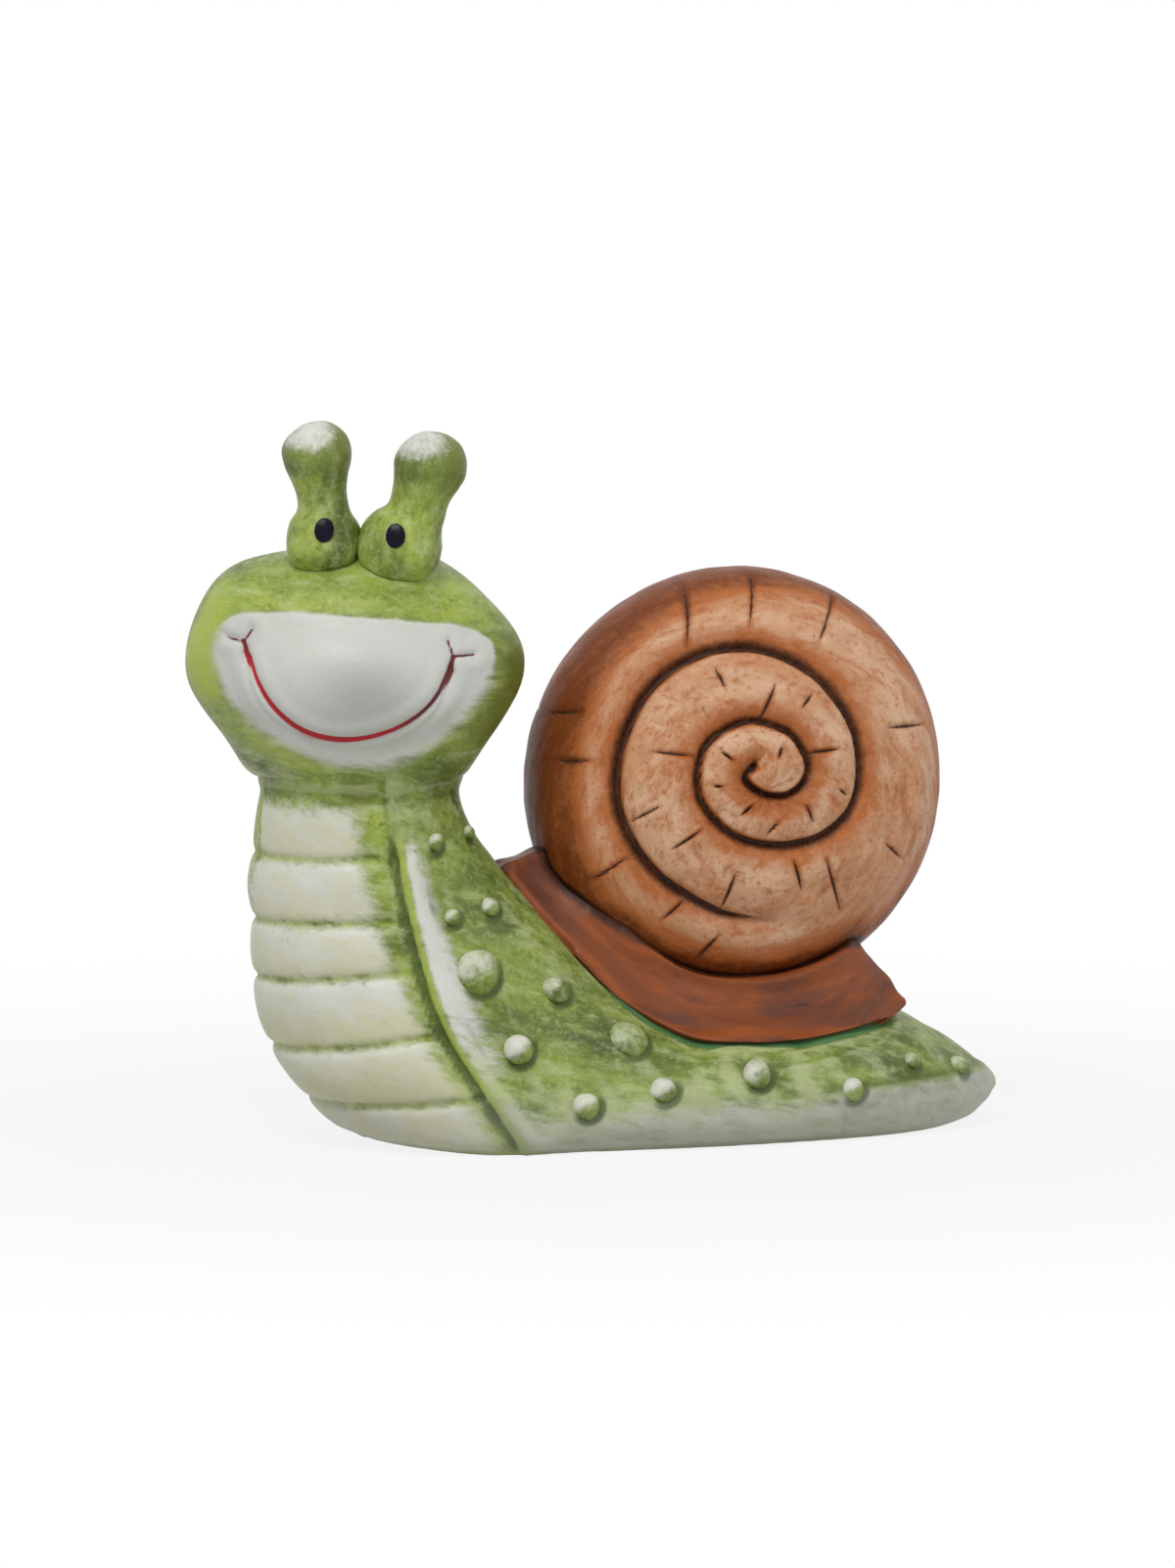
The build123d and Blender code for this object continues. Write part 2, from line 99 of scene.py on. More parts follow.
def lumps(points: np.ndarray, size: float, seed: int, count: int = 22) -> np.ndarray:
    """Soft random unevenness, as hands leave in clay.

    Args:
        points: places in millimetres.
        size: how wide a lump is, in millimetres.
        seed: the same seed gives the same lumps.
        count: how many waves are summed.

    Returns:
        One value for each point, mostly between -2 and 2.
    """
    random = np.random.default_rng(seed)
    directions = random.normal(size=(count, 3))
    directions /= np.linalg.norm(directions, axis=1)[:, None]
    pitches = 2 * math.pi / (2.6 * size * random.uniform(0.7, 1.6, count))
    phases = random.uniform(0, 2 * math.pi, count)
    waves = np.sin(points @ (directions * pitches[:, None]).T + phases)
    return waves.sum(axis=1) / math.sqrt(count / 2)


def flowing(points: Sequence[tuple[float, float]], steps: int = 8) -> np.ndarray:
    """A smooth line through a few given points.

    Args:
        points: the places that the line passes, in order.
        steps: how many short runs each stretch gets.

    Returns:
        The line's points, one row each.
    """
    knots = np.array(points, dtype=float)
    padded = np.vstack((2 * knots[0] - knots[1], knots, 2 * knots[-1] - knots[-2]))
    rows = []
    for before, start, end, after in zip(padded, padded[1:], padded[2:], padded[3:]):
        for share in np.arange(steps) / steps:
            square = share**2 * (before - 2.5 * start + 2 * end - 0.5 * after)
            cube = share**3 * (1.5 * (start - end) + 0.5 * (after - before))
            rows.append(start + 0.5 * share * (end - before) + square + cube)
    rows.append(knots[-1])
    return np.array(rows)


def beside_line(places: np.ndarray, line: np.ndarray) -> tuple[np.ndarray, np.ndarray]:
    """Measures flat places against a line.

    Args:
        places: flat places, one row each.
        line: the line's points, one row each.

    Returns:
        The distance, positive to the right of the way the line runs, and how far along the line the
        nearest point is, from 0 to 1.
    """
    best = np.full(len(places), np.inf)
    signed = np.zeros(len(places))
    along = np.zeros(len(places))
    lengths = np.linalg.norm(np.diff(line, axis=0), axis=1)
    reached = np.concatenate(([0], np.cumsum(lengths)))
    for index, (start, end) in enumerate(zip(line, line[1:])):
        run = end - start
        offset = places - start
        share = np.clip(offset @ run / (run @ run), 0, 1)
        distance = np.hypot(*(offset - share[:, None] * run).T)
        nearer = distance < best
        best[nearer] = distance[nearer]
        turn = run[1] * offset[:, 0] - run[0] * offset[:, 1]
        signed[nearer] = np.where(turn[nearer] > 0, 1, -1) * distance[nearer]
        along[nearer] = (reached[index] + share[nearer] * lengths[index]) / reached[-1]
    return signed, along


def below_saddle(points: np.ndarray) -> tuple[np.ndarray, np.ndarray]:
    """Measures points against the saddle's lower edge, as the camera sees it on the near flank.

    Args:
        points: places in millimetres; the far flank is taken as a mirror of the near one.

    Returns:
        Millimetres below the edge, and the share from 0 to 1 to which the edge holds there.
    """
    _, right, up = Studio().view_axes()
    mirrored = np.stack((points[:, 0], -np.abs(points[:, 1]), points[:, 2]), axis=1)
    offset = mirrored - np.array(Studio.aim)
    seen = np.stack((offset @ np.array(right), offset @ np.array(up)), axis=1)
    below, _ = beside_line(seen, flowing(SADDLE_EDGE))
    holds = ramp(-9, -3, seen[:, 0]) * ramp(63, 59, seen[:, 0]) * ramp(0, -6, mirrored[:, 1])
    return below, holds


def rows_of(thing: bpy.types.Object, kind: str = "co") -> np.ndarray:
    """Reads the points of an object.

    Args:
        thing: the object, unturned and at the origin.
        kind: co for places in metres, normal for the way out of the surface.

    Returns:
        One row for each point.
    """
    flat = np.empty(3 * len(thing.data.vertices), dtype=np.float32)
    thing.data.vertices.foreach_get(kind, flat)
    return flat.reshape(-1, 3).astype(float)


def box_of(node: str) -> tuple[np.ndarray, np.ndarray]:
    """The lowest and highest corner of a CAD node, in millimetres."""
    rows = rows_of(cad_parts[node]) / MM
    return rows.min(axis=0), rows.max(axis=0)


@cache
def tree_of(node: str) -> BVHTree:
    """Sorts a CAD node's faces, so that distances to them are found fast.

    Args:
        node: the node's name.

    Returns:
        The tree of faces.
    """
    solid = bmesh.new()
    solid.from_mesh(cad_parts[node].data)
    tree = BVHTree.FromBMesh(solid)
    solid.free()
    return tree


class Clay:
    """A piece of clay as an object: it is pressed, carved and painted point by point."""

    def __init__(self, name: str, mesh: bpy.types.Mesh) -> None:
        """Makes the object and links it to the scene.

        Args:
            name: the piece's name.
            mesh: its surface.
        """
        mesh.name = name
        self.mesh = mesh
        self.object = bpy.data.objects.new(name, mesh)
        bpy.context.scene.collection.objects.link(self.object)
        mesh.shade_smooth()

    def points(self) -> np.ndarray:
        """The points in millimetres, one row each."""
        return rows_of(self.object) / MM

    def normals(self) -> np.ndarray:
        """The way out of the surface at each point."""
        return rows_of(self.object, "normal")

    def place(self, points: np.ndarray) -> None:
        """Puts the points at new places, in millimetres."""
        self.mesh.vertices.foreach_set("co", (points * MM).astype(np.float32).ravel())
        self.mesh.update()

    def press(self, heights: np.ndarray) -> None:
        """Moves each point outwards by its height in millimetres."""
        self.place(self.points() + self.normals() * heights[:, None])

    def relaxed(self, values: np.ndarray, rounds: int, share: float = 0.5) -> np.ndarray:
        """Averages values with those of the neighbouring points.

        Args:
            values: one row for each point.
            rounds: how many times to average.
            share: how far each value goes towards the average; below zero it goes away from it.

        Returns:
            The softened values.
        """
        flat = np.empty(2 * len(self.mesh.edges), dtype=np.int32)
        self.mesh.edges.foreach_get("vertices", flat)
        first, second = flat.reshape(-1, 2).T
        ends = np.concatenate((first, second))
        count = np.maximum(np.bincount(ends, minlength=len(values)), 1)
        columns = values.T.copy()
        for _ in range(rounds):
            for column in columns:
                both = np.concatenate((column[second], column[first]))
                summed = np.bincount(ends, weights=both, minlength=len(values))
                column[:] = (1 - share) * column + share * summed / count
        return columns.T

    def soften(self, rounds: int) -> None:
        """Smooths the surface, as a wet sponge does, without making the piece smaller."""
        for _ in range(rounds):
            self.place(self.relaxed(self.points(), 1))
            self.place(self.relaxed(self.points(), 1, SWELL_BACK))

    def melt(self, share: np.ndarray, rounds: int) -> None:
        """Rounds the surface off in some places.

        Args:
            share: 1 where the surface is rounded off, 0 where it stays.
            rounds: how many times those places are averaged.
        """
        points = self.points()
        share = share[:, None]
        self.place(points * (1 - share) + self.relaxed(points, rounds) * share)

    def hollowness(self, rounds: int) -> np.ndarray:
        """How far the surface around each point stands above it, in millimetres."""
        return ((self.relaxed(self.points(), rounds) - self.points()) * self.normals()).sum(axis=1)

    def paint(self, strokes: np.ndarray, **layers: np.ndarray | float) -> None:
        """Stores what the glaze reads at each point.

        Args:
            strokes: the places that brush strokes follow, in millimetres.
            layers: the numbers, by the names that the glaze reads.
        """
        layer = self.mesh.attributes.new("strokes", "FLOAT_VECTOR", "POINT")
        layer.data.foreach_set("vector", (strokes * MM).astype(np.float32).ravel())
        for name, values in layers.items():
            layer = self.mesh.attributes.new(name, "FLOAT", "POINT")
            numbers = np.broadcast_to(values, len(self.mesh.vertices))
            layer.data.foreach_set("value", numbers.astype(np.float32))

    def nearness(self, reach: float, *nodes: str) -> np.ndarray:
        """How far each point is from CAD nodes.

        Args:
            reach: the largest distance that matters, in millimetres.
            nodes: the nodes' names.

        Returns:
            The distances in millimetres, no larger than the reach.
        """
        points = self.points()
        distances = np.full(len(points), float(reach))
        for node in nodes:
            tree = tree_of(node)
            low, high = box_of(node)
            close = ((points > low - reach) & (points < high + reach)).all(axis=1)
            for index in np.flatnonzero(close):
                distance = tree.find_nearest(Vector(points[index] * MM), reach * MM)[3]
                if distance is not None:
                    distances[index] = min(distances[index], distance / MM)
        return distances

    def dress(self, glaze: bpy.types.Material, slot: str, *nodes: str) -> None:
        """Gives the piece its finish and puts it in place of its CAD nodes.

        Args:
            glaze: the material.
            slot: the record's slot that the finish belongs to; not used.
            nodes: the CAD nodes that the piece stands for.
        """
        self.mesh.materials.clear()
        self.mesh.materials.append(glaze)
        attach(self.object, "root")
        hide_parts(*nodes)
        LOG.info("%s: %d points", self.object.name, len(self.mesh.vertices))


def looks_out(tree: BVHTree, place: Vector, normal: Vector, tilt: float = 55.0, spokes: int = 8) -> bool:
    """Tells whether a face can be seen from outside.

    Args:
        tree: the solid's faces.
        place: the middle of the face, in metres.
        normal: the way that the face looks.
        tilt: how far the slanted sight lines lean, in degrees.
        spokes: how many slanted sight lines are tried.

    Returns:
        True where one sight line gets away.
    """
    start = place + normal * (0.02 * MM)
    across = normal.orthogonal().normalized()
    other = normal.cross(across)
    lines = [normal]
    for lean in (math.radians(0.5 * tilt), math.radians(tilt)):
        for spoke in range(spokes):
            angle = 2 * math.pi * spoke / spokes
            sideways = across * math.cos(angle) + other * math.sin(angle)
            lines.append(normal * math.cos(lean) + sideways * math.sin(lean))
    return any(tree.ray_cast(start, line)[0] is None for line in lines)


def outer_skin(node: str) -> bmesh.types.BMesh:
    """A merged copy of a CAD node without the hollow inside it.

    Args:
        node: the node's name.

    Returns:
        The closed outer skin.
    """
    skin = bmesh.new()
    skin.from_mesh(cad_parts[node].data)
    bmesh.ops.remove_doubles(skin, verts=skin.verts, dist=SAME_POINT * MM)
    skin.normal_update()
    tree = BVHTree.FromBMesh(skin)
    hidden = [face for face in skin.faces if not looks_out(tree, face.calc_center_median(), face.normal)]
    bmesh.ops.delete(skin, geom=hidden, context="FACES")
    islands = loose_parts(skin)
    largest = max(islands, key=len)
    stray = [vert for island in islands if island is not largest for vert in island]
    bmesh.ops.delete(skin, geom=stray, context="VERTS")
    bmesh.ops.holes_fill(skin, edges=[edge for edge in skin.edges if edge.is_boundary], sides=0)
    bmesh.ops.triangulate(skin, faces=[face for face in skin.faces if len(face.verts) > 4])
    return skin


def loose_parts(skin: bmesh.types.BMesh) -> list[list[bmesh.types.BMVert]]:
    """Splits a bmesh into the groups of points that its edges join.

    Args:
        skin: the bmesh.

    Returns:
        One list of points for each group.
    """
    seen: set[int] = set()
    groups = []
    skin.verts.index_update()
    for first in skin.verts:
        if first.index in seen:
            continue
        seen.add(first.index)
        group, queue = [], [first]
        while queue:
            vert = queue.pop()
            group.append(vert)
            for edge in vert.link_edges:
                other = edge.other_vert(vert)
                if other.index not in seen:
                    seen.add(other.index)
                    queue.append(other)
        groups.append(group)
    return groups


def remeshed(skin: bmesh.types.BMesh, name: str, grain: float, rounds: int) -> Clay:
    """Turns a closed skin into evenly dense clay.

    Args:
        skin: the closed bmesh, which is freed.
        name: the new piece's name.
        grain: the distance between points, in millimetres.
        rounds: how many times the stepped surface is averaged.

    Returns:
        The piece.
    """
    rough = bpy.data.meshes.new(f"{name}_rough")
    skin.to_mesh(rough)
    skin.free()
    blank = bpy.data.objects.new(f"{name}_blank", rough)
    bpy.context.scene.collection.objects.link(blank)
    remesh = blank.modifiers.new("even grain", "REMESH")
    remesh.mode = "VOXEL"
    remesh.voxel_size = grain * MM
    remesh.adaptivity = 0
    even = bpy.data.meshes.new_from_object(blank.evaluated_get(bpy.context.evaluated_depsgraph_get()))
    bpy.data.objects.remove(blank)
    bpy.data.meshes.remove(rough)
    piece = Clay(name, even)
    piece.soften(rounds)
    return piece


class Brushwork:
    """Builds the nodes of one painted glaze with short calls."""

    def __init__(self, name: str) -> None:
        """Starts a material with only a shader and its output.

        Args:
            name: the material's name.
        """
        self.material = bpy.data.materials.new(name)
        self.material.use_nodes = True
        self.tree = self.material.node_tree
        self.shader = self.tree.nodes["Principled BSDF"]
        self.places = self.add("ShaderNodeTexCoord").outputs["Object"]

    def add(self, kind: str, **settings: object) -> bpy.types.Node:
        """Adds a node.

        Args:
            kind: the node's type.
            settings: its plain settings.

        Returns:
            The node.
        """
        node = self.tree.nodes.new(kind)
        for key, value in settings.items():
            setattr(node, key, value)
        return node

    def join(self, source: object, socket: bpy.types.NodeSocket) -> None:
        """Links a socket, or sets a plain value.

        Args:
            source: a socket or a value.
            socket: the input that takes it.
        """
        if isinstance(source, bpy.types.NodeSocket):
            self.tree.links.new(source, socket)
        else:
            socket.default_value = source

    def layer(self, name: str, output: str = "Fac") -> bpy.types.NodeSocket:
        """What a piece stores at each point under a name."""
        return self.add("ShaderNodeAttribute", attribute_name=name).outputs[output]

    def sum(self, operation: str, first: object, second: object) -> bpy.types.NodeSocket:
        """One step of arithmetic.

        Args:
            operation: the name of the step.
            first, second: what goes in.

        Returns:
            The result.
        """
        node = self.add("ShaderNodeMath", operation=operation)
        self.join(first, node.inputs[0])
        self.join(second, node.inputs[1])
        return node.outputs[0]

    def plus(self, first: object, second: object) -> bpy.types.NodeSocket:
        """Adds two values."""
        return self.sum("ADD", first, second)

    def times(self, first: object, second: object) -> bpy.types.NodeSocket:
        """Multiplies two values."""
        return self.sum("MULTIPLY", first, second)

    def ripple(self, pattern: object, strength: float) -> bpy.types.NodeSocket:
        """Turns a pattern around one half into one around 0, so strong."""
        return self.times(self.sum("SUBTRACT", pattern, 0.5), strength)

    def noise(
        self, size: float, places: bpy.types.NodeSocket | None = None, detail: float = 4.0,
        roughness: float = 0.6, distortion: float = 0.0, shift: float = 0.0,
    ) -> bpy.types.NodeSocket:
        """Blotches of about a size in millimetres, from 0 to 1 around one half.

        Args:
            size: the blotches' width in millimetres.
            places: where the pattern is read; the object's own places if left out.
            detail, roughness: how many finer layers are added, and how strong they are.
            distortion: how much the blotches swirl.
            shift: a number that moves the pattern, so that two patterns differ.

        Returns:
            The pattern.
        """
        node = self.add("ShaderNodeTexNoise", noise_dimensions="4D")
        self.join(places or self.places, node.inputs["Vector"])
        node.inputs["W"].default_value = shift
        node.inputs["Scale"].default_value = 1 / (size * MM)
        node.inputs["Detail"].default_value = detail
        node.inputs["Roughness"].default_value = roughness
        node.inputs["Distortion"].default_value = distortion
        return node.outputs["Fac"]

    def step(self, value: object, low: float, high: float) -> bpy.types.NodeSocket:
        """A smooth step of a value from 0 at low to 1 at high.

        Args:
            value: what is stepped.
            low, high: where the step starts and ends; it falls where low is the larger.

        Returns:
            The share, from 0 to 1.
        """
        node = self.add("ShaderNodeMapRange", interpolation_type="SMOOTHSTEP")
        self.join(value, node.inputs["Value"])
        rising = low < high
        node.inputs["From Min"].default_value = min(low, high)
        node.inputs["From Max"].default_value = max(low, high)
        node.inputs["To Min"].default_value = 0.0 if rising else 1.0
        node.inputs["To Max"].default_value = 1.0 if rising else 0.0
        return node.outputs["Result"]

    def blend(self, share: object, under: object, over: object) -> bpy.types.NodeSocket:
        """Lays one colour over another.

        Args:
            share: how much of the upper colour shows, from 0 to 1.
            under, over: the colours.

        Returns:
            The mixed colour.
        """
        node = self.add("ShaderNodeMix", data_type="RGBA")
        self.join(share, node.inputs["Factor"])
        self.join(under, node.inputs["A"])
        self.join(over, node.inputs["B"])
        return node.outputs["Result"]

    def coats(
        self, colour: object, *laid: tuple[object, float, float, float, object]
    ) -> bpy.types.NodeSocket:
        """Brushes colours over another, one after the other.

        Args:
            colour: the ground.
            laid: for each coat the amount, where it starts to show, where it shows most, how much it
                shows there, and its colour.

        Returns:
            The mixed colour.
        """
        for amount, low, high, share, over in laid:
            colour = self.blend(self.times(self.step(amount, low, high), share), colour, over)
        return colour

    def finish(
        self, colour: object, roughness: object, specular: float,
        height: object, depth: float, strength: float,
    ) -> bpy.types.Material:
        """Gives the shader its paint and fine relief.

        Args:
            colour: the paint.
            roughness: how matte it is.
            specular: how much it shines.
            height: the relief's pattern.
            depth, strength: how deep the relief is, in millimetres, and how much of it shows.

        Returns:
            The material.
        """
        self.join(colour, self.shader.inputs["Base Color"])
        self.join(roughness, self.shader.inputs["Roughness"])
        self.shader.inputs["Specular IOR Level"].default_value = specular
        bump = self.add("ShaderNodeBump")
        bump.inputs["Strength"].default_value = strength
        bump.inputs["Distance"].default_value = depth * MM
        self.join(height, bump.inputs["Height"])
        self.join(bump.outputs["Normal"], self.shader.inputs["Normal"])
        return self.material


@dataclass(frozen=True)
class GreenWash:
    """Thin green washes over a pale slip, with white dry-brushed over the high places; the same coats also
    carry painted highlights and painted shade.
    """

    name: str = "green wash"
    deep: tuple = srgb(68, 88, 28)
    leaf: tuple = srgb(130, 150, 66)
    lime: tuple = srgb(172, 190, 74)
    sage: tuple = srgb(192, 202, 150)
    chalk: tuple = srgb(224, 224, 219)
    shade_grey: tuple = srgb(154, 156, 152)
    cream: tuple = srgb(212, 212, 170)
    olive: tuple = srgb(100, 110, 26)
    sea: tuple = srgb(76, 128, 84)
    lip_red: tuple = srgb(184, 20, 34)
    lip_dark: tuple = srgb(84, 24, 26)

    def mix(self, brush: Brushwork, strokes: bpy.types.NodeSocket) -> bpy.types.NodeSocket:
        """The mottled green, before any white or line is laid over it.

        Args:
            brush: the material that is being painted.
            strokes: the places that brush strokes follow.

        Returns:
            The colour.
        """
        broad = brush.noise(8.0, strokes, detail=5, roughness=0.62, distortion=0.4, shift=1.0)
        speckle = brush.noise(1.3, detail=5, roughness=0.75, shift=4.0)
        streak = brush.noise(2.8, strokes, detail=6, roughness=0.7, distortion=0.3, shift=7.0)
        fresh = brush.plus(brush.layer("fresh"), brush.sum("SUBTRACT", broad, 0.5))
        colour = brush.coats(
            self.deep,
            (broad, 0.30, 0.60, 1.0, self.leaf),
            (fresh, 0.1, 0.9, 0.85, self.lime),
            (streak, 0.48, 0.70, 0.66, self.sage),
            (speckle, 0.52, 0.70, 0.5, self.sage),
        )
        dark = brush.times(brush.step(speckle, 0.56, 0.38), brush.step(streak, 0.56, 0.36))
        return brush.blend(brush.times(dark, 0.7), colour, self.deep)

    def glaze(self) -> bpy.types.Material:
        """The finished paint.

        Returns:
            The material, which reads the layers that the green pieces store.
        """
        brush = Brushwork(self.name)
        strokes = brush.layer("strokes", "Vector")
        ragged = brush.noise(2.2, strokes, detail=6, roughness=0.72, distortion=0.5, shift=11.0)
        tint = brush.noise(5.0, strokes, detail=5, roughness=0.65, shift=15.0)
        grain = brush.noise(0.9, detail=3, roughness=0.6, shift=21.0)
        edge = brush.ripple(ragged, 1.6)
        creamy = brush.plus(brush.layer("creamy"), brush.ripple(tint, 1.4))
        chalk = brush.blend(brush.step(creamy, 0.0, 1.0), self.chalk, self.cream)
        lips = brush.blend(brush.layer("lip_shade"), self.lip_red, self.lip_dark)
        colour = self.mix(brush, strokes)
        # olive is olive paint with some painted shade; raised is sage dry-brushed on high places plus painted
        # highlight on sides that face the key lamp; white is white paint plus painted highlight; the crevice
        # layer is painted shade.
        for layer, wander, *coat in (
            ("olive", 1.0, 0.2, 1.0, 0.8, self.olive),
            ("raised", 1.0, 0.3, 1.1, 0.7, self.sage),
            ("white", 1.0, 0.15, 0.95, 0.97, chalk),
            ("lime_line", 1.0, 0.2, 1.1, 0.8, self.lime),
            ("crevice_shade", 0.6, 0.25, 1.1, 0.9, self.deep),
            ("sea_line", 0.5, 0.4, 1.0, 0.85, self.sea),
        ):
            amount = brush.plus(brush.layer(layer), brush.times(edge, wander))
            colour = brush.coats(colour, (amount, *coat))
        # Painted shade: the dim layer greys the paint towards this grey.
        colour = brush.blend(brush.times(brush.layer("dim"), 0.55), colour, self.shade_grey)
        colour = brush.coats(colour, (brush.layer("lip"), 0.32, 0.62, 1.0, lips))
        height = brush.plus(brush.times(ragged, 0.6), grain)
        return brush.finish(colour, brush.step(ragged, -0.6, 1.7), 0.4, height, 0.16, 0.6)


@dataclass(frozen=True)
class ShellStain:
    """Rust and umber stains wiped off a buff shell, so that they stay in the carving; the stain also deepens
    towards the saddle, and painted shade darkens the lower-left rim.
    """

    name: str = "shell stain"
    buff: tuple = srgb(206, 150, 110)
    cream: tuple = srgb(224, 182, 148)
    rust: tuple = srgb(178, 98, 40)
    ember: tuple = srgb(118, 58, 20)
    umber: tuple = srgb(50, 24, 14)

    def glaze(self) -> bpy.types.Material:
        """The finished stain.

        Returns:
            The material, which reads the layers that the shell stores.
        """
        brush = Brushwork(self.name)
        strokes = brush.layer("strokes", "Vector")
        broad = brush.noise(7.0, strokes, detail=5, roughness=0.65, distortion=0.5, shift=2.0)
        streak = brush.noise(2.4, strokes, detail=6, roughness=0.72, distortion=0.4, shift=5.0)
        speckle = brush.noise(1.4, detail=5, roughness=0.78, shift=9.0)
        edge = brush.plus(brush.ripple(streak, 1.1), brush.ripple(speckle, 1.1))
        stain = brush.plus(brush.layer("stain"), edge)
        dark = brush.plus(brush.layer("dark"), brush.times(edge, 0.4))
        colour = brush.coats(
            self.buff,
            (broad, 0.40, 0.64, 1.0, self.cream),
            (streak, 0.47, 0.64, 0.6, self.rust),
            (streak, 0.58, 0.74, 0.5, self.ember),
            (speckle, 0.54, 0.66, 0.65, self.cream),
            (speckle, 0.47, 0.36, 0.7, self.rust),
            (stain, 0.1, 0.95, 0.9, self.rust),
            (stain, 0.8, 1.6, 1.0, self.ember),
            (dark, 0.25, 1.0, 1.0, self.umber),
        )
        height = brush.plus(brush.times(streak, 0.8), speckle)
        return brush.finish(colour, brush.step(streak, -0.5, 1.9), 0.22, height, 0.24, 0.8)


@dataclass(frozen=True)
class SaddleStain:
    """Red-brown strokes drawn along the saddle, brighter at its lower edge, with painted shade on its
    downward faces near the body, and darker where it meets the shell, at its upper front end and a little
    above the body.
    """

    name: str = "saddle stain"
    brick: tuple = srgb(134, 70, 32)
    orange: tuple = srgb(160, 82, 32)
    plum: tuple = srgb(92, 50, 38)
    umber: tuple = srgb(44, 22, 14)

    def glaze(self) -> bpy.types.Material:
        """The finished stain.

        Returns:
            The material, which reads the layers that the saddle stores.
        """
        brush = Brushwork(self.name)
        strokes = brush.layer("strokes", "Vector")
        streak = brush.noise(3.0, strokes, detail=6, roughness=0.66, distortion=0.3, shift=3.0)
        broad = brush.noise(7.0, strokes, detail=4, roughness=0.6, shift=6.0)
        edge = brush.ripple(streak, 0.8)
        colour = brush.coats(
            self.brick,
            (streak, 0.44, 0.66, 1.0, self.orange),
            (broad, 0.46, 0.66, 0.75, self.plum),
            (streak, 0.42, 0.30, 0.7, self.umber),
            (brush.plus(brush.layer("rim"), edge), 0.3, 0.8, 0.8, self.orange),
            (brush.plus(brush.layer("dark"), edge), 0.35, 1.0, 0.9, self.umber),
        )
        return brush.finish(colour, brush.step(streak, -0.6, 1.8), 0.3, streak, 0.24, 0.8)


@dataclass(frozen=True)
class PupilEnamel:
    """Thick, glossy blue-black enamel."""

    name: str = "pupil enamel"
    ink: tuple = srgb(12, 8, 24)
    violet: tuple = srgb(26, 18, 48)

    def glaze(self) -> bpy.types.Material:
        """The finished enamel.

        Returns:
            The material.
        """
        brush = Brushwork(self.name)
        pool = brush.noise(1.6, detail=3, roughness=0.5)
        colour = brush.blend(brush.step(pool, 0.48, 0.8), self.ink, self.violet)
        return brush.finish(colour, brush.step(pool, -0.4, 2.2), 0.12, pool, 0.05, 0.4)


